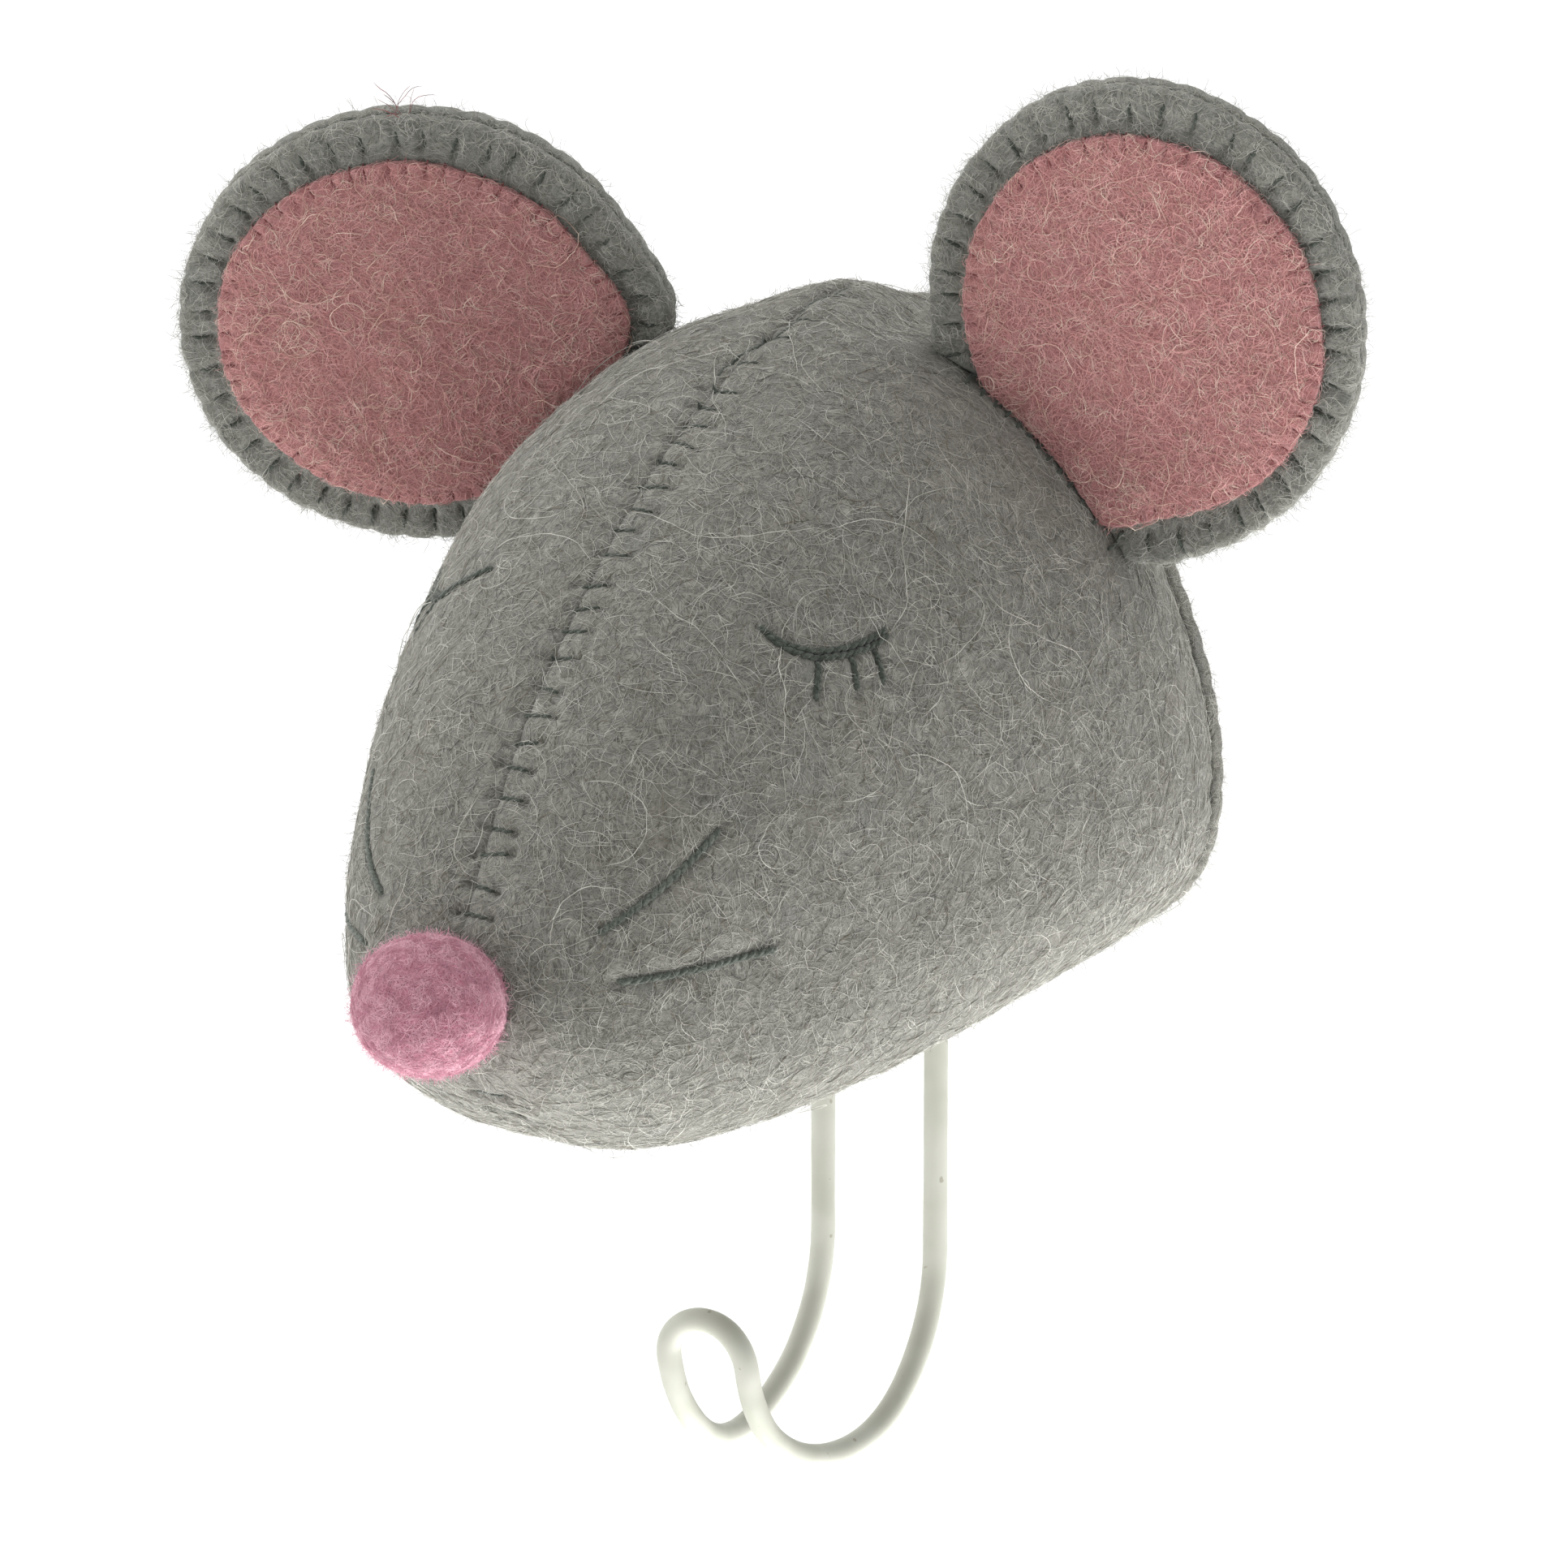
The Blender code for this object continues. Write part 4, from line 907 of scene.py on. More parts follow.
def head_panel(side):
    """One side of the head: a felt shell from the top seam round the cheek to the chin seam."""
    sign = 1 if side == "left" else -1
    t, angle = np.meshgrid(row_depths(), column_angles(), indexing="ij")
    if sign < 0:
        angle = math.pi - angle
    points, normals = skin_point(t, angle), skin_normal(t, angle)
    outer = dented(points + normals * relief(points, angle)[..., None], NOSE_RADIUS + 0.15 * MM)
    inner = dented(points - normals * FELT, NOSE_RADIUS + FELT)
    for layer in (outer, inner):
        layer[..., 0] = sign * np.maximum(sign * layer[..., 0], 0.02 * MM)
        layer[0, :, 1] = -BACK_EDGE
        layer[..., 1] = np.minimum(layer[..., 1], -BACK_EDGE)
    piece = add_mesh(f"felt_side_{side}", *shell(outer, inner), GREY_FELT)
    hole = wire_hole(side, sign)
    cut = piece.modifiers.new("wire_hole", "BOOLEAN")
    cut.operation, cut.solver, cut.object = "DIFFERENCE", "EXACT", hole
    bpy.context.view_layer.update()
    done = bpy.data.meshes.new_from_object(piece.evaluated_get(bpy.context.evaluated_depsgraph_get()))
    piece.modifiers.clear()
    piece.data = done
    done.shade_smooth()
    bpy.data.objects.remove(hole, do_unlink=True)
    on_head(piece, "grey_felt", f"head_panel_{side}")
    return piece


def stuffing():
    """The wadding inside the felt, pressed against it."""
    t = np.linspace(float(t_at_depth(STUFFING_BACK)), 0.985, 50)
    t, angle = np.meshgrid(t, np.linspace(0, 2 * math.pi, 72, endpoint=False), indexing="ij")
    points, normals = skin_point(t, angle), skin_normal(t, angle)
    rings = points - normals * (FELT + 0.6 * MM) + normals * 0.3 * MM * lumps(points, 6 * MM, 12)[..., None]
    rings = dented(rings, NOSE_RADIUS + FELT + 1.2 * MM)
    rings[..., 1] = np.minimum(rings[..., 1], -STUFFING_BACK)
    rings[0, :, 1] = -STUFFING_BACK
    back = np.array((0.0, -STUFFING_BACK, -4 * MM))
    piece = add_mesh("stuffing", *turned(rings, back, rings[-1].mean(axis=0)), WADDING_LOOK)
    on_head(piece, "wadding", "head_stuffing")


# The back cover's cross-section from its opening to its edge and back: share of the way out, and height as
# a share of the felt's thickness, from 0 at the wall to -1 at the board.
COVER_PROFILE = ((0.0, -0.3), (0.0, -0.08), (0.012, 0.0),
                 *((share, 0.0) for share in np.linspace(0.06, 0.97, 40)),
                 (0.985, -0.02), (0.995, -0.12), (1.0, -0.3), (1.0, -0.7), (0.995, -0.88), (0.985, -0.98),
                 *((share, -1.0) for share in np.linspace(0.96, 0.02, 12)), (0.0, -0.9), (0.0, -0.6))


def back_cover():
    """The felt that lies on the wall, with an opening for the hanger plate."""
    count = 480
    angle = np.linspace(0, 2 * math.pi, count, endpoint=False)
    edge = skin_point(np.full(count, float(t_at_depth(BACK_EDGE))), angle)[:, [0, 2]]
    pinch, _ = edge_pinches(angle)
    edge = edge + unit(edge - edge.mean(axis=0)) * (0.05 * MM - 0.25 * MM * pinch)[:, None]
    centre = np.array((0.0, PLATE_Z))
    toward = np.arctan2(edge[:, 1] - centre[1], edge[:, 0] - centre[0])
    c, s = np.cos(toward), np.sin(toward)
    corner_power = 8
    size = (np.abs(c / CUTOUT_HALF[0]) ** corner_power + np.abs(s / CUTOUT_HALF[1]) ** corner_power)
    hole = centre + np.stack((c, s), axis=-1) * (size ** (-1 / corner_power))[:, None]
    rings = []
    for share, level in COVER_PROFILE:
        flat = hole + (edge - hole) * share
        fuzzy = 0.12 * MM * np.clip(lumps(np.column_stack((flat, np.zeros(count))), 4 * MM, 21), -1, 0)
        y = np.full(count, level * FELT) + (fuzzy if level > -0.5 else 0)
        rings.append(np.stack((flat[:, 0], y, flat[:, 1]), axis=-1))
    quads = grid_quads(len(rings), count, closed=True)
    first = np.arange(count)
    last = (len(rings) - 1) * count + first
    seam = np.stack((last, np.roll(last, -1), np.roll(first, -1), first), axis=-1)
    piece = add_mesh("felt_back", np.array(rings), [np.concatenate((quads, seam))], GREY_FELT)
    on_head(piece, "grey_felt", "back_cover")
    return piece


BAR_WIDTH, CHIN_BAR_WIDTH, CROWN_WIDTH = 0.62 * MM, 0.6 * MM, 0.6 * MM
LID_WIDTH, LASH_WIDTH, WHISKER_WIDTH = 0.95 * MM, 1.0 * MM, 1.1 * MM
LID_SHIFT = 0.36                              # of each of the lid's two rows, in millimetres
# A whip stitch over the back edge: distance from the wall and height over the felt, in millimetres.
EDGE_STITCH = ((5.0, -1.0), (4.2, -0.35), (3.0, -0.45), (2.6, -0.65), (2.0, -0.75), (1.2, -0.7), (0.8, -1.0))


def head_threads(tree):
    """All the stitches on the head."""
    def line_body(line, width, lift, depth=0.8 * MM):
        points, normals = skin_point(*line), skin_normal(*line)
        return plied(sunk_line(tree, points, normals, depth, lift), normals, width)

    def finish(name, bodies, node_name, look=DARK_THREAD):
        on_head(add_mesh(name, *joined(bodies), look), "dark_thread", node_name)

    bars = []
    for stitch in TOP_STITCHES + CROWN_STITCHES:
        bars += line_body(bar_line(stitch, True, 22), BAR_WIDTH, -0.06 * MM)
    bars += line_body(crown_line(120), CROWN_WIDTH, -0.12 * MM, depth=0.9 * MM)
    finish("top_seam_stitches", bars, "top_seam_thread")
    bars = []
    for stitch in CHIN_STITCHES:
        bars += line_body(bar_line(stitch, False, 22), CHIN_BAR_WIDTH, -0.05 * MM)
    finish("chin_seam_stitches", bars, "chin_seam_thread")
    for side in SIDES:
        bodies = []
        for shift in (-LID_SHIFT, LID_SHIFT):
            moved = [(depth, height + shift) for depth, height in EYES[side]["lid"]]
            bodies += line_body(cheek_line(moved, side, 64), LID_WIDTH, 0.12 * MM)
        for lash in EYES[side]["lashes"]:
            bodies += line_body(cheek_line(lash, side, 26), LASH_WIDTH, 0.05 * MM)
        finish(f"eye_stitches_{side}", bodies, f"eye_thread_{side}")
        for which, ends in WHISKERS[side].items():
            body = line_body(cheek_line(ends, side, 70), WHISKER_WIDTH, 0.04 * MM)
            finish(f"whisker_stitch_{side}_{which}", body, f"whisker_{side}_{which}", look=SOFT_THREAD)
    depths, sunk = np.array(EDGE_STITCH).T * MM
    t = t_at_depth(depths)
    bodies = []
    rng = np.random.default_rng(44)
    for mark in edge_pinches(np.zeros(1))[1]:
        angle = mark + rng.uniform(0.01, 0.03) * np.linspace(-1, 1, len(depths))
        points, normals = skin_point(t, angle), skin_normal(t, angle)
        path = curve_through(points + normals * sunk[:, None], 24)
        bodies += plied(path, np.repeat(normals[3:4], 24, axis=0), 0.5 * MM)
    finish("back_edge_stitches", bodies, "back_edge_thread")


def nose():
    """The felted wool ball on the tip of the muzzle."""
    rows, columns = ((90, 140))
    polar, turn = np.meshgrid(np.linspace(0.02, math.pi - 0.02, rows),
                              np.linspace(0, 2 * math.pi, columns, endpoint=False), indexing="ij")
    out = np.stack((np.sin(polar) * np.cos(turn), -np.cos(polar), np.sin(polar) * np.sin(turn)), axis=-1)
    radius = NOSE_RADIUS + 0.22 * MM * lumps(out, 0.9, 31) + 0.10 * MM * lumps(out, 0.28, 32)
    rings = NOSE_CENTRE + out * radius[..., None] * (1.0, 1.0, NOSE_HEIGHT)
    ends = [NOSE_CENTRE + np.array((0, -sign * NOSE_RADIUS, 0)) for sign in (1, -1)]
    piece = add_mesh("nose_wool_ball", *turned(rings, *ends), NOSE_LOOK)
    on_head(piece, "nose_wool", "nose_ball")
    nap = Nap(piece, tree_of(piece), np.random.default_rng(91), "nose_wool")
    count = 4600
    nap.lay("nose_fibres", count, None, (1.5, 5), (0.02, 0.25), 0.35, 0.026, ROSE_FIBRE, steps=9)
    nap.stand("nose_fuzz", count, None, (0.7, 1.9), (0.1, 1.3), 0.35, ROSE_FIBRE, steps=6)


def back_fibres(cover):
    """The nap of the felt on the back, with the fuzz that shows at its edge."""
    nap = Nap(cover, tree_of(cover), np.random.default_rng(18), "grey_felt")
    count = 2600

    def open_face(points, normals):
        outer = (normals[:, 1] > 0.5) | (np.abs(normals[:, 1]) < 0.6) & (points[:, 1] > -2.2 * MM)
        middle = np.hypot(points[:, 0] / CUTOUT_HALF[0], (points[:, 2] - PLATE_Z) / CUTOUT_HALF[1]) < 1.3
        return outer * ~middle * 1.0

    def edge_only(points, normals):
        return (np.abs(normals[:, 1]) < 0.7) * (head_clearance(points) > -1.5 * MM) * 1.0

    nap.lay("back_fibres", count, open_face, (2.5, 8), (0.0, 0.15), 0.28, 0.03, PALE_FIBRE)
    nap.stand("back_edge_fuzz", count, edge_only, (0.7, 2.2), (0.3, 1.2), 0.3, PALE_FIBRE, limit_y=-0.1 * MM)


def head_fibres(panels, tree):
    """The nap of the side panels: laid fibres of three shades, short fuzz and a few long hairs."""
    rng = np.random.default_rng(17)
    many = 5400

    def outside(points, normals):
        return (head_clearance(points) > -1.4 * MM) * 1.0 * (points[:, 1] < -2.9 * MM)

    for side, panel in panels.items():
        nap = Nap(panel, tree, rng, "grey_felt")
        nap.lay(f"pale_fibres_{side}", many, outside, (2.5, 9), (0.0, 0.4), 0.26, 0.028, PALE_FIBRE)
        nap.lay(f"mid_fibres_{side}", many, outside, (2.5, 7), (0.0, 0.18), 0.28, 0.034, MID_FIBRE)
        nap.lay(f"dark_fibres_{side}", many // 4, outside, (1.5, 5), (0.0, 0.12), 0.25, 0.04, DARK_FIBRE)
        nap.stand(f"fuzz_{side}", many, outside, (0.6, 2.2), (0.5, 1.45), 0.22, MID_FIBRE)
        nap.lay(f"long_hairs_{side}", 45, outside, (12, 24), (0.5, 1.6), 0.16, 0.045, PALE_FIBRE, steps=22)


# ---- ears ----------------------------------------------------------------------------------
TUFT_AT = math.radians(125)          # where a tuft of red fibres is caught in the far ear's edge
# How far the threads lie over the felt along a stitch, in millimetres.
RIM_STITCH_LIFT = (-0.75, -0.1, 0.08, 0.08, 0.02, -0.08, -0.18, -0.25)
INNER_STITCH_LIFT = (-0.4, -0.1, 0.0, 0.02, 0.02, 0.0, -0.05)


class Ear:
    """One ear's own frame: local Z along its facing, X from its middle towards its base."""
    CUP = 1.1 * MM
    STITCH_STEP = 4.2 * MM
    STITCH_LENGTH = 4.1 * MM
    TOP = 2.65 * MM           # from the ear's middle plane to its felt's face
    HEAD_GAP = 0.15 * MM

    def __init__(self, side):
        data = EARS[side]
        facing = unit(np.array(data["facing"]))
        base = np.array(data["base"])
        base = unit(base - facing * base.dot(facing))
        self.side, self.radius = side, data["radius"] * MM
        self.data = data
        self.axes = np.stack((base, np.cross(facing, base), facing))
        self.middle = np.array(data["centre"]) * MM
        self.seed = 50 if side == "left" else 60
        self.bend_start = tuple(self.middle + base * 22 * MM)
        self.bend_end = tuple(self.middle + base * 12 * MM)
        self.base_angle = self.find_base()
        first, last = self.base_angle + 0.03, 2 * math.pi - self.base_angle - 0.03
        count = round((last - first) * self.radius / self.STITCH_STEP)
        rng = np.random.default_rng(self.seed)
        even = first + (last - first) * (np.arange(count) + 0.5) / count
        self.stitches = even + rng.uniform(-0.02, 0.02, count)

    def attach(self, piece, slot, *nodes):
        """piece stays where it is, its transform baked, in place of the CAD nodes."""
        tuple(self.bend_start)
        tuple(self.bend_end)
        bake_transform(piece)
        if nodes:
            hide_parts(*nodes)

    def place(self, rho, theta, z):
        """World points for polar places in the ear, with its cup and gentle waves."""
        rho, theta, z = np.broadcast_arrays(rho, theta, z)
        x, y = rho * np.cos(theta), rho * np.sin(theta)
        flat = np.stack((x, y, np.zeros_like(x)), axis=-1)
        lift = self.CUP * (rho / self.radius) ** 2 + 0.55 * MM * lumps(flat, 26 * MM, self.seed)
        local = np.stack((x, y, z + lift), axis=-1)
        return self.middle + local @ self.axes

    def outline(self, which, theta):
        """The free edge of the ear's felt or of its pink disc."""
        mean, shift_x, shift_y, oval, longest, corner, corner_at = self.data[which]
        shift = shift_x * np.cos(theta) + shift_y * np.sin(theta)
        spread = np.mod(np.degrees(theta) - corner_at + 180, 360) - 180
        bulge = corner * np.exp(-(spread / CORNER_SPREAD) ** 2)
        return (mean + shift + oval * np.cos(2 * (theta - math.radians(longest))) + bulge) * MM

    def find_base(self):
        """The angle from the base's middle at which the rim leaves the head."""
        theta = np.linspace(0, math.pi, 400)
        gone = head_clearance(self.place(self.outline("outline", theta), theta, 0.0)) > 0
        other = head_clearance(self.place(self.outline("outline", -theta), -theta, 0.0)) > 0
        return float(min(theta[np.argmax(gone)], theta[np.argmax(other)]))

    def reach(self, theta, z, free):
        """How far out a layer at height z goes: to its free edge, or to where it meets the head."""
        rho = np.linspace(0.2, 1.15, 68)[:, None] * self.radius
        room = head_clearance(self.place(rho, theta, z)) - self.HEAD_GAP
        inside = room < 0
        first = np.argmax(inside, axis=0)
        met = inside.any(axis=0) & (first > 0)
        column = np.arange(len(theta))
        before, after = room[first - 1, column], room[first, column]
        share = before / np.where(met, before - after, 1.0)
        meets = rho[first - 1, 0] + (rho[first, 0] - rho[first - 1, 0]) * share
        return np.where(met, np.minimum(meets, free), free)

    def pinch(self, theta, marks, width, rho):
        """1 at a stitch and 0 between stitches."""
        gap = np.abs(np.mod(theta[..., None] - marks + math.pi, 2 * math.pi) - math.pi).min(axis=-1)
        return np.exp(-(gap * rho / width) ** 2)


def disc_layer(ear, low, high, outline, profile_round, top_relief, columns):
    """A felt disc between two heights of an ear, with a rounded edge and a relief on its outer face."""
    theta = np.linspace(0, 2 * math.pi, columns, endpoint=False)
    free = outline(theta)
    at_low, at_high = ear.reach(theta, low, free), ear.reach(theta, high, free)
    rings = []
    shares = np.concatenate((np.linspace(0.03, 0.76, 14, endpoint=False), np.linspace(0.76, 1.0, 24)))
    for share in shares:
        rho = (at_high - profile_round) * share
        z = high + top_relief(rho, theta, at_high)
        rings.append(ear.place(rho, theta, z))
    half = (high - low) / 2
    for turn in np.linspace(75, -90, 10):
        turn = math.radians(turn)
        edge = at_low + (at_high - at_low) * (math.sin(turn) + 1) / 2
        fullness = max(math.cos(turn), 0.0) ** (1.0 if turn > 0 else 0.3)
        rho = edge - profile_round + profile_round * fullness
        z = (low + high) / 2 + half * math.sin(turn)
        fall = top_relief(rho, theta, at_high) * max(math.sin(turn), 0.0)
        rings.append(ear.place(rho, theta, z + fall))
    for share in (0.97, 0.93, 0.8, 0.6, 0.3, 0.05):
        rings.append(ear.place((at_low - profile_round) * share, theta, low))
    ends = [ear.place(0.0, 0.0, high + top_relief(np.zeros(1), np.zeros(1), ear.radius)[0]),
            ear.place(0.0, 0.0, low)]
    return turned(np.array(rings), *ends)


def make_ear(side, head_tree):
    """An ear of two grey rounds and a pink one, with its stitches and fibres."""
    ear = Ear(side)
    columns = 720
    rng = np.random.default_rng(ear.seed + 1)

    def rim(theta):
        pull = ear.pinch(theta, ear.stitches, 0.8 * MM, ear.radius)
        flat = np.stack((np.cos(theta), np.sin(theta), np.zeros_like(theta)), axis=-1)
        swell = 0.22 * MM * lumps(flat, 0.3, ear.seed + 2)
        return ear.outline("outline", theta) - 0.2 * MM * pull + swell

    def rim_relief(flip):
        def relief_at(rho, theta, edge):
            pull = ear.pinch(theta, ear.stitches, 0.62 * MM, ear.radius)
            start = np.asarray(edge) - ear.STITCH_LENGTH
            on = smooth_step((rho - start) / (0.7 * MM))
            pit = np.exp(-((rho - start - 0.3 * MM) / (0.75 * MM)) ** 2)
            free = np.abs(np.mod(theta + math.pi, 2 * math.pi) - math.pi) > ear.base_angle
            flat = np.stack((rho * np.cos(theta), rho * np.sin(theta), np.full_like(rho, 0.1 * flip)), axis=-1)
            lump = 0.2 * MM * lumps(flat, 4.5 * MM, ear.seed + 3)
            lump = lump + 0.1 * MM * lumps(flat, 1.7 * MM, ear.seed + 4)
            puff = 0.08 * MM * on * (1 - pull)
            return flip * (lump + (puff - pull * (0.22 * MM * on + 0.7 * MM * pit)) * free)
        return relief_at

    top = Ear.TOP
    front = add_mesh(f"ear_front_{side}",
                     *disc_layer(ear, 0.15 * MM, top, rim, 1.1 * MM, rim_relief(1), columns), EAR_FELT)
    back = add_mesh(f"ear_back_{side}",
                    *disc_layer(ear, -0.15 * MM, -top, rim, 1.1 * MM, rim_relief(-1), columns), EAR_FELT)
    inner_radius = ear.data["pink"][0] * MM
    first, last = ear.base_angle + 0.02, 2 * math.pi - ear.base_angle - 0.02
    count = round((last - first) * inner_radius / (2.4 * MM))
    small = first + (last - first) * (np.arange(count) + 0.5) / count + rng.uniform(-0.018, 0.018, count)

    def inner_edge(theta):
        pull = ear.pinch(theta, small, 0.5 * MM, inner_radius)
        flat = np.stack((np.cos(theta), np.sin(theta), np.zeros_like(theta)), axis=-1)
        swell = 0.3 * MM * lumps(flat, 0.4, ear.seed + 5)
        return ear.outline("pink", theta) - 0.12 * MM * pull + swell

    def inner_relief(rho, theta, edge):
        pull = ear.pinch(theta, small, 0.45 * MM, inner_radius)
        on = smooth_step((rho - (np.asarray(edge) - 1.9 * MM)) / (0.5 * MM))
        fall = smooth_step((rho - (np.asarray(edge) - 3.2 * MM)) / (3.2 * MM))
        flat = np.stack((rho * np.cos(theta), rho * np.sin(theta), np.zeros_like(rho)), axis=-1)
        lump = 0.14 * MM * lumps(flat, 5 * MM, ear.seed + 6) + 0.06 * MM * lumps(flat, 1.6 * MM, ear.seed + 7)
        return lump - 0.3 * MM * pull * on - 0.35 * MM * fall

    pink_low = top + 0.05 * MM
    pink_top = pink_low + PINK_FELT
    inner = add_mesh(f"ear_inner_{side}",
                     *disc_layer(ear, pink_low, pink_top, inner_edge, 0.35 * MM, inner_relief, columns),
                     PINK_LOOK)
    for piece, radius, layer, slot in ((front, ear.radius, "front", "grey_felt"),
                                       (back, ear.radius, "back", "grey_felt"),
                                       (inner, inner_radius, "inner", "pink_felt")):
        ear.attach(piece, slot, f"ear_{side}_{layer}")

    # The stitches, first round the rim and then round the pink felt.
    front_tree, inner_tree, back_tree = tree_of(front), tree_of(inner), tree_of(back)
    facing = ear.axes[2]
    bodies = []
    edge_radius = rim(ear.stitches)
    for angle, radius in zip(ear.stitches, edge_radius):
        out = np.cos(angle) * ear.axes[0] + np.sin(angle) * ear.axes[1]
        for flip, felt_tree in ((1, front_tree), (-1, back_tree)):
            lean = rng.uniform(-0.02, 0.02)
            rho = np.linspace(radius - ear.STITCH_LENGTH - rng.uniform(-0.7, 0.2) * MM, radius - 0.9 * MM, 8)
            over = ear.place(rho, angle + lean * np.linspace(1, 0, 8), flip * top)
            lift = np.array(RIM_STITCH_LIFT) * MM + rng.uniform(-0.12, 0.08) * MM
            over = draped(felt_tree, over, np.repeat(flip * facing[None], 8, axis=0), lift)
            wrap = ear.place(np.array((radius - 0.75 * MM, radius - 0.4 * MM, radius - 0.38 * MM)), angle,
                             flip * np.array((top - 0.55 * MM, 1.35 * MM, 0.15 * MM)))
            path = curve_through(np.concatenate((over, wrap)), 26)
            ups = unit(np.concatenate((np.tile(flip * facing, (16, 1)), np.tile(out, (10, 1)))))
            bodies += plied(path, ups, 0.55 * MM)
    theta = np.linspace(ear.stitches[0], ear.stitches[-1], 420)
    path = ear.place(rim(theta) - 0.5 * MM, theta, 0.2 * MM * np.sin(theta * 41))
    ups = np.cos(theta)[:, None] * ear.axes[0] + np.sin(theta)[:, None] * ear.axes[1]
    bodies += plied(path, ups, 0.55 * MM)
    ear.attach(add_mesh(f"ear_rim_stitches_{side}", *joined(bodies), DARK_THREAD), "dark_thread",
               f"ear_{side}_rim_thread")
    bodies = []
    for angle in small:
        edge = inner_edge(np.array([angle]))[0]
        rho = np.linspace(edge - rng.uniform(1.4, 2.0) * MM, edge + 0.25 * MM, 9)
        over = ear.place(rho, angle + rng.uniform(-0.015, 0.015) * np.linspace(1, 0, 9), pink_top)
        lift = np.array(INNER_STITCH_LIFT) * MM
        over = draped(inner_tree, over[:7], np.repeat(facing[None], 7, axis=0), lift)
        low = ear.place(np.array([edge + 0.3 * MM]), angle, np.array([top - 0.2 * MM]))
        path = curve_through(np.concatenate((over, low)), 18)
        bodies += plied(path, np.repeat(facing[None], 18, axis=0), 0.34 * MM, twist=1.0 * MM, sides=5)
    ear.attach(add_mesh(f"ear_inner_stitches_{side}", *joined(bodies), PINK_THREAD), "pink_thread",
               f"ear_{side}_inner_thread")
    base_stitches(ear, head_tree, rng)
    ear_fibres(ear, front, back, inner, rng)


def base_stitches(ear, head_tree, rng):
    """Stitches that sew the ear down, over the crease at its base, in front and behind."""
    bodies = []
    facing = ear.axes[2]
    for level, flip in ((ear.TOP, 1), (-ear.TOP, -1)):
        spread = ear.base_angle * 0.93
        theta = np.linspace(-spread, spread, 13 if flip > 0 else 11)
        rho = ear.reach(theta, level, np.full(len(theta), ear.radius))
        foot = ear.place(rho, theta, level)
        for k, (angle, root) in enumerate(zip(theta, foot)):
            inward = ear.place(rho[k] - 1.5 * MM, angle + 0.03, level + flip * 0.05 * MM)
            ahead = root + facing * flip * 1.9 * MM
            t = float(t_at_depth(-ahead[1]))
            middle = head_section(t)[3]
            sweep = math.atan2(ahead[2] - float(middle), ahead[0])
            out = skin_normal(np.array([t]), np.array([sweep]))[0]
            landed = draped(head_tree, ahead[None], out[None], 0.05 * MM)[0]
            points = [inward - facing * flip * 0.7 * MM, inward + facing * flip * 0.15 * MM,
                      root + facing * flip * 0.35 * MM + out * 0.35 * MM, landed, landed - out * 0.8 * MM]
            path = curve_through(points, 18)
            bodies += plied(path, np.repeat(unit(out + facing * flip)[None], 18, axis=0), 0.55 * MM)
    on_head(add_mesh(f"ear_base_stitches_{ear.side}", *joined(bodies), DARK_THREAD), "dark_thread",
            f"ear_{ear.side}_base_thread")


def ear_fibres(ear, front, back, inner, rng):
    """The nap of the ear's front rim, of its back and of its pink face."""
    facing = ear.axes[2]
    side = ear.side

    def off_head(points):
        return head_clearance(points) > 0.6 * MM

    def rim_only(points, normals):
        x, y, z = ((points - ear.middle) @ ear.axes.T).T
        return (np.hypot(x, y) > ear.radius - 5.2 * MM) * (np.abs(z) > 0.5 * MM) * off_head(points)

    def outer_back(points, normals):
        return (normals @ facing < -0.2) * off_head(points)

    def pink_face(points, normals):
        return (normals @ facing > 0.3) * off_head(points)

    def amount(full):
        return full

    for name, piece, keep, full in (("rim", front, rim_only, 5200), ("back", back, outer_back, 3400)):
        nap = Nap(piece, tree_of(piece), rng, "grey_felt", ear)
        nap.lay(f"ear_{name}_fibres_{side}", amount(full // 4), keep, (2, 6), (0.05, 0.6), 0.34, 0.026,
                PALE_FIBRE)
        nap.stand(f"ear_{name}_fuzz_{side}", amount(full), keep, (0.8, 2.8), (0.3, 1.4), 0.3, MID_FIBRE)
    nap = Nap(inner, tree_of(inner), rng, "pink_felt", ear)
    for name, full, look, radius in (("pink", 4400, PINK_FIBRE, 0.03), ("cream", 900, CREAM_FIBRE, 0.032)):
        nap.lay(f"ear_{name}_fibres_{side}", amount(full), pink_face, (2.5, 7), (0.0, 0.6), 0.36, radius, look,
                steps=9)
    nap.stand(f"ear_pink_fuzz_{side}", amount(3200), pink_face, (0.6, 2.0), (0.5, 1.45), 0.25, PINK_FIBRE)
    nap.lay(f"ear_long_hairs_{side}", 18, pink_face, (9, 18), (0.4, 1.4), 0.25, 0.04, CREAM_FIBRE, steps=22)
    if side == "right":
        spot = ear.place(ear.outline("outline", np.array([TUFT_AT])) - 0.4 * MM, np.array([TUFT_AT]), 0.6 * MM)
        out = unit(spot - ear.middle)
        seeds = spot + rng.normal(0, 0.45 * MM, (12, 3))
        paths = standing_fibres(seeds, np.repeat(out, 12, axis=0), in_metres(2, 5.5), (0.0, 0.6), 0.2, 9, rng)
        nap.finish("ear_tuft_right", paths, 0.05, RED_FIBRE)


# ---- hook, plate and screws ----------------------------------------------------------------
def bend_place(run):
    """Y and Z of the wire a distance run along the J bend, and half the distance between the wires."""
    turn = np.minimum(run / BEND_RADIUS, math.pi)
    rise = np.maximum(run - math.pi * BEND_RADIUS, 0.0)
    y = WIRE_Y - BEND_RADIUS * (1 - np.cos(turn))
    z = BEND_Z - BEND_RADIUS * np.sin(turn) + rise
    close = smooth_step((np.degrees(turn) - TAPER_FROM) / (TAPER_TO - TAPER_FROM))
    return y, z, LEG_X + (TIP_LOOP - LEG_X) * close


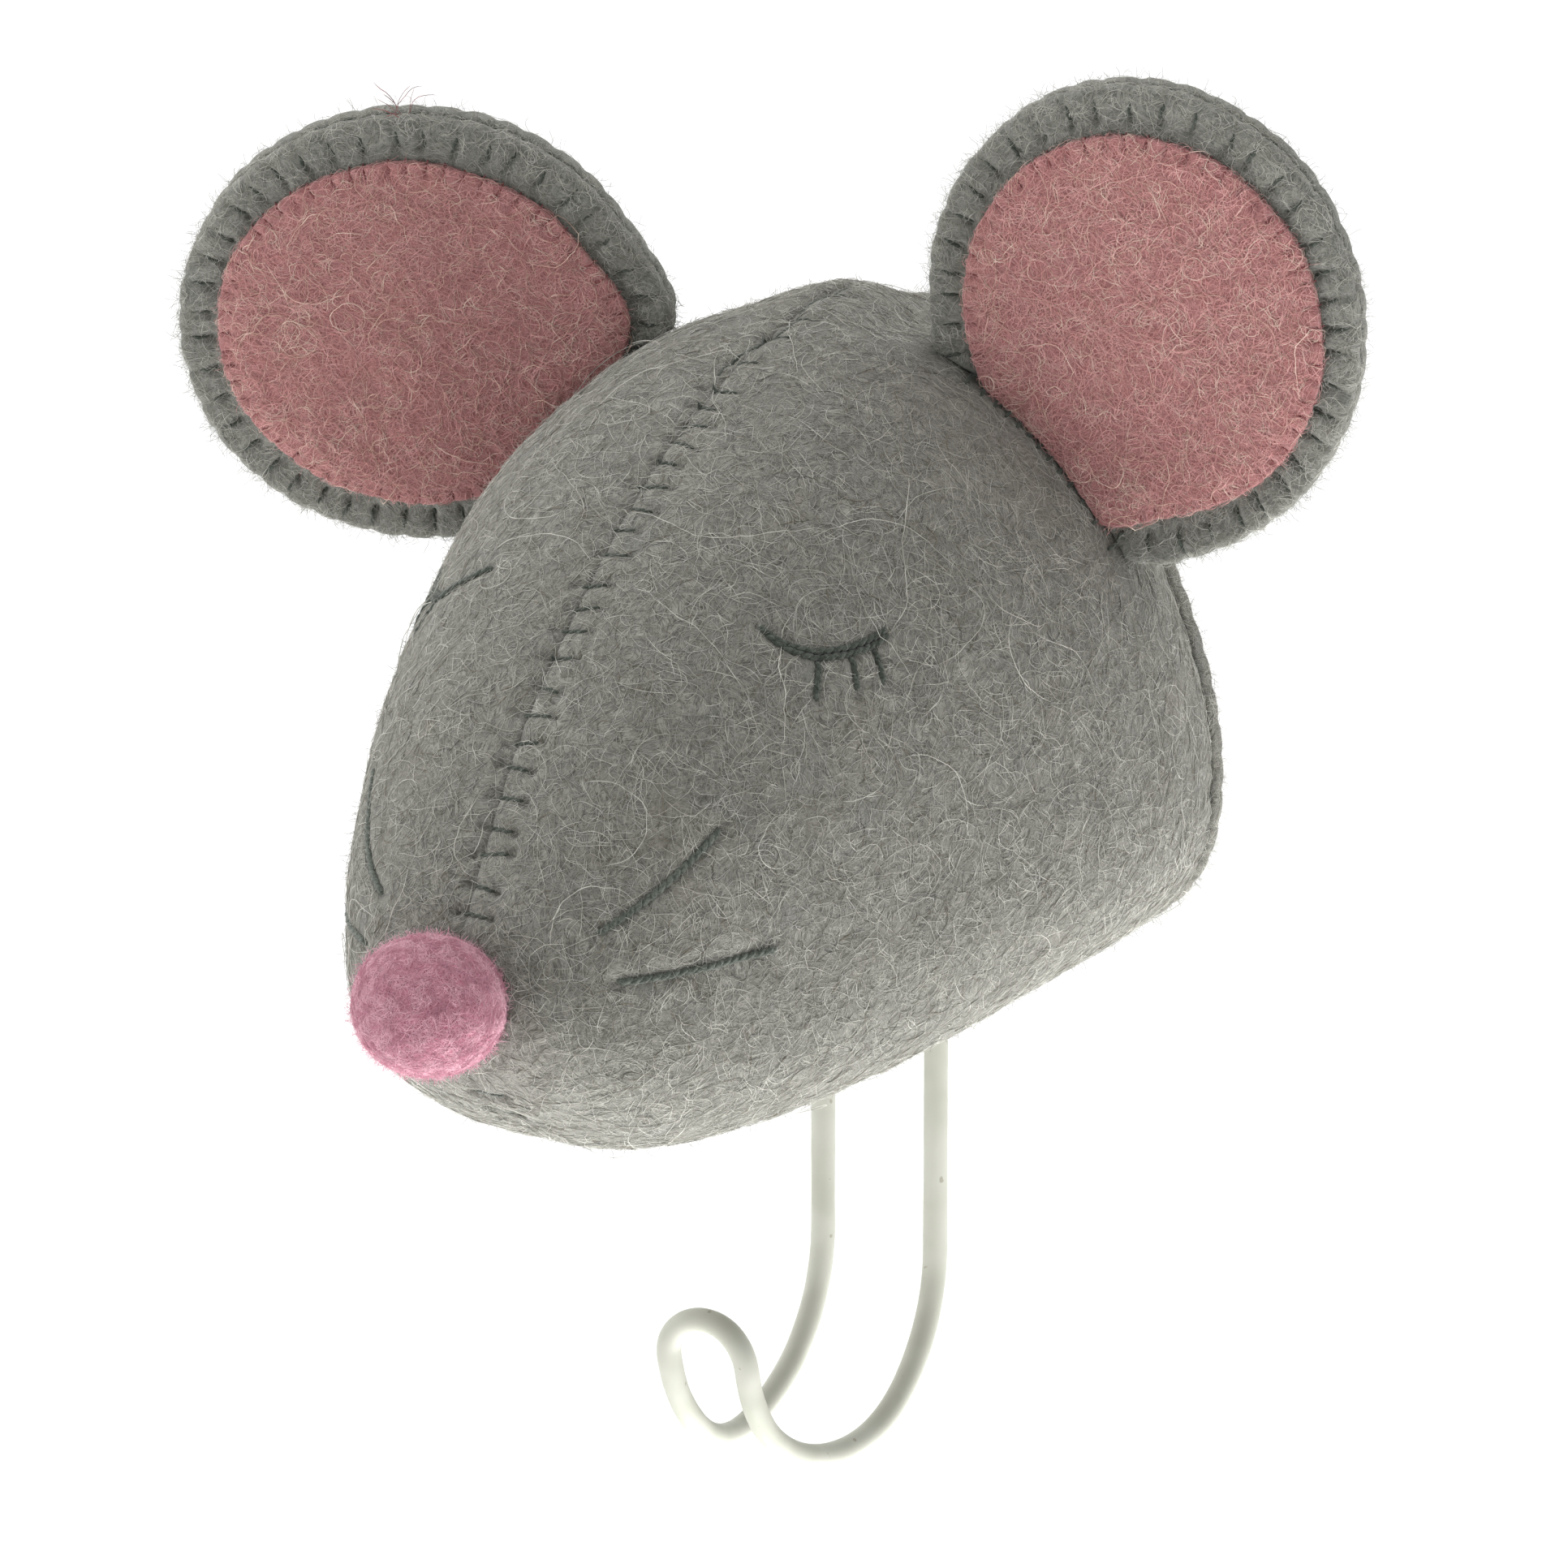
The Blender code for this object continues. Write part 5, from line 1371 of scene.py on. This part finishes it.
def wire_hook():
    """The double hook, one length of coated wire."""
    loop_start = math.pi * BEND_RADIUS + TIP_RISE - TIP_LOOP
    legs = [(LEG_X, WIRE_Y, z) for z in np.linspace(LEG_TOP, BEND_Z + 3 * MM, 30)]
    y, z, x = bend_place(np.linspace(0, loop_start, 50))
    bend = list(zip(x, y, z))
    turn = np.radians(np.arange(15, 90, 15))
    y, z, _ = bend_place(loop_start + TIP_LOOP * np.sin(turn))
    half = np.array(legs + bend + list(zip(TIP_LOOP * np.cos(turn), y, z)))
    y, z, _ = bend_place(np.array([loop_start + TIP_LOOP]))
    route = np.concatenate((half, [(0.0, y[0], z[0])], half[::-1] * (-1, 1, 1)))
    path = curve_through(route, 520)
    uneven = WIRE_RADIUS + 0.035 * MM * lumps(path, 7 * MM, 41) + 0.015 * MM * lumps(path, 2.2 * MM, 42)
    piece = add_mesh("coated_hook", *tubes(path[None], uneven[None], 24), WIRE_LOOK)
    on_head(piece, "coated_wire", "wire_hook")


def screw_heads():
    """Pan heads with a cross recess on the hanger plate's screws."""
    rows, columns = 22, 96
    for number, x in enumerate((-10.5 * MM, 10.5 * MM), start=1):
        low, high = (np.array(corner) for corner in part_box(f"hanger_screw_{number}"))
        middle = (low + high) / 2
        radius = (high[0] - low[0]) / 2
        share, turn = np.meshgrid(np.linspace(0.03, 1, rows),
                                  np.linspace(0, 2 * math.pi, columns, endpoint=False),
                                  indexing="ij")
        flat_x, flat_z = share * radius * np.cos(turn), share * radius * np.sin(turn)
        dome = 0.9 * MM * np.sqrt(np.maximum(1 - (share * 0.93) ** 2.4, 0.0))
        arm = np.minimum(np.abs(flat_x * 0.8 + flat_z * 0.6), np.abs(flat_z * 0.8 - flat_x * 0.6))
        recess = 0.6 * MM * (1 - smooth_step((arm / MM - 0.18) / 0.16)) * (share < 0.68)
        foot = high[1] - 0.9 * MM
        height = foot + np.maximum(dome - recess, 0.05 * MM)
        face = np.stack((middle[0] + flat_x, height, middle[2] + flat_z), axis=-1)
        rim = face[-1].copy()
        rim[:, 1] = foot
        shank = middle + (face[-1] - middle) * (0.42, 0, 0.42)
        shank[:, 1] = foot
        tip = shank.copy()
        tip[:, 1] = low[1] + 0.8 * MM
        rings = np.concatenate((face, [rim, shank, tip]))
        ends = (np.array((middle[0], foot + 0.3 * MM, middle[2])), np.array((middle[0], low[1], middle[2])))
        piece = add_mesh(f"cross_screw_{number}", *turned(rings, *ends), STEEL_LOOK)
        piece.data.set_sharp_from_angle(angle=math.radians(50))
        on_head(piece, "plated_steel", f"hanger_screw_{number}")


def carried_over():
    """Looks for the nodes that stay as they are in the CAD, with soft edges on the metal ones."""
    metal = ("hanger_plate", *(f"wire_clip_{k}" for k in (1, 2)), *(f"clip_screw_{k}" for k in (1, 2, 3, 4)))
    for name in ("backboard", *metal):
        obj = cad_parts[name]
        obj.data.materials.clear()
        obj.data.materials.append(WOOD_LOOK if name == "backboard" else STEEL_LOOK)
        if name != "backboard":
            bevel = obj.modifiers.new("soft_edges", "BEVEL")
            bevel.width, bevel.segments, bevel.limit_method = 0.15 * MM, 2, "ANGLE"


# ---- stage ---------------------------------------------------------------------------------
AZIMUTH, ELEVATION, DISTANCE = math.radians(32), math.radians(17), 1.1
AIM_RIGHT, AIM_UP = -17.15 * MM, -25.1 * MM
FRAME_WIDTH = 193.2 * MM


def stage():
    """The camera of the photo, a white floor and background, and soft light."""
    right = Vector((math.cos(AZIMUTH), math.sin(AZIMUTH), 0))
    up = Vector((-math.sin(AZIMUTH) * math.sin(ELEVATION), math.cos(AZIMUTH) * math.sin(ELEVATION),
                 math.cos(ELEVATION)))
    back = right.cross(up)
    aim = right * AIM_RIGHT + up * AIM_UP
    data = bpy.data.cameras.new("camera")
    data.sensor_width = 36.0
    data.lens = 36.0 * DISTANCE / FRAME_WIDTH
    camera = bpy.data.objects.new("camera", data)
    camera.matrix_world = (Matrix.Translation(aim + back * DISTANCE)
                           @ Matrix((right, up, back)).transposed().to_4x4())
    SCENE.collection.objects.link(camera)
    SCENE.camera = camera
    SCENE.view_settings.view_transform = "Standard"

    floor_look, tree, shader, own = new_material("floor_look", Roughness=0.9)
    surface(tree, shader, mixed(tree, noise(tree, own, 3.0), (0.93, 0.93, 0.93), (0.95, 0.95, 0.95)))
    half, level = 6.0, -0.55
    corners = [(-half, -half, level), (half, -half, level), (half, half, level), (-half, half, level)]
    floor = add_mesh("floor", np.array(corners), [np.array([[0, 1, 2, 3]])], floor_look)

    def soft_light(name, place, size, power):
        light = bpy.data.lights.new(name, "AREA")
        light.shape, light.size, light.energy = "DISK", size, power
        lamp = bpy.data.objects.new(name, light)
        toward = Vector((0.0, -0.05, 0.0)) - Vector(place)
        lamp.matrix_world = Matrix.Translation(place) @ toward.to_track_quat("-Z", "Y").to_matrix().to_4x4()
        lamp.visible_camera = False
        SCENE.collection.objects.link(lamp)

    soft_light("light_left", (-1.8, -0.1, 0.3), 1.3, 9.0)
    soft_light("light_front_left", (-1.05, -1.7, 0.0), 1.0, 10.0)
    soft_light("light_top", (-0.1, 0.1, 1.7), 1.4, 7.0)
    soft_light("light_below", (0.12, 0.0, -0.5), 0.7, 8.5)
    world = bpy.data.worlds.new("world")
    world.use_nodes = True
    tree = world.node_tree
    around = node(tree, "ShaderNodeTexCoord").outputs["Generated"]
    front = node(tree, "ShaderNodeVectorMath", {0: around, 1: back}, operation="DOT_PRODUCT").outputs["Value"]
    tree.links.new(remapped(tree, front, 0.0, 0.9, 1.42, 0.56), tree.nodes["Background"].inputs[1])
    tree.nodes["Background"].inputs[0].default_value = (1.0, 1.0, 1.0, 1.0)
    SCENE.world = world


def main():
    stage()
    panels = {side: head_panel(side) for side in SIDES}
    stuffing()
    cover = back_cover()
    head_tree = tree_of(*panels.values())
    head_threads(head_tree)
    nose()
    head_fibres(panels, head_tree)
    back_fibres(cover)
    for side in EARS:
        make_ear(side, head_tree)
    wire_hook()
    screw_heads()
    carried_over()


main()
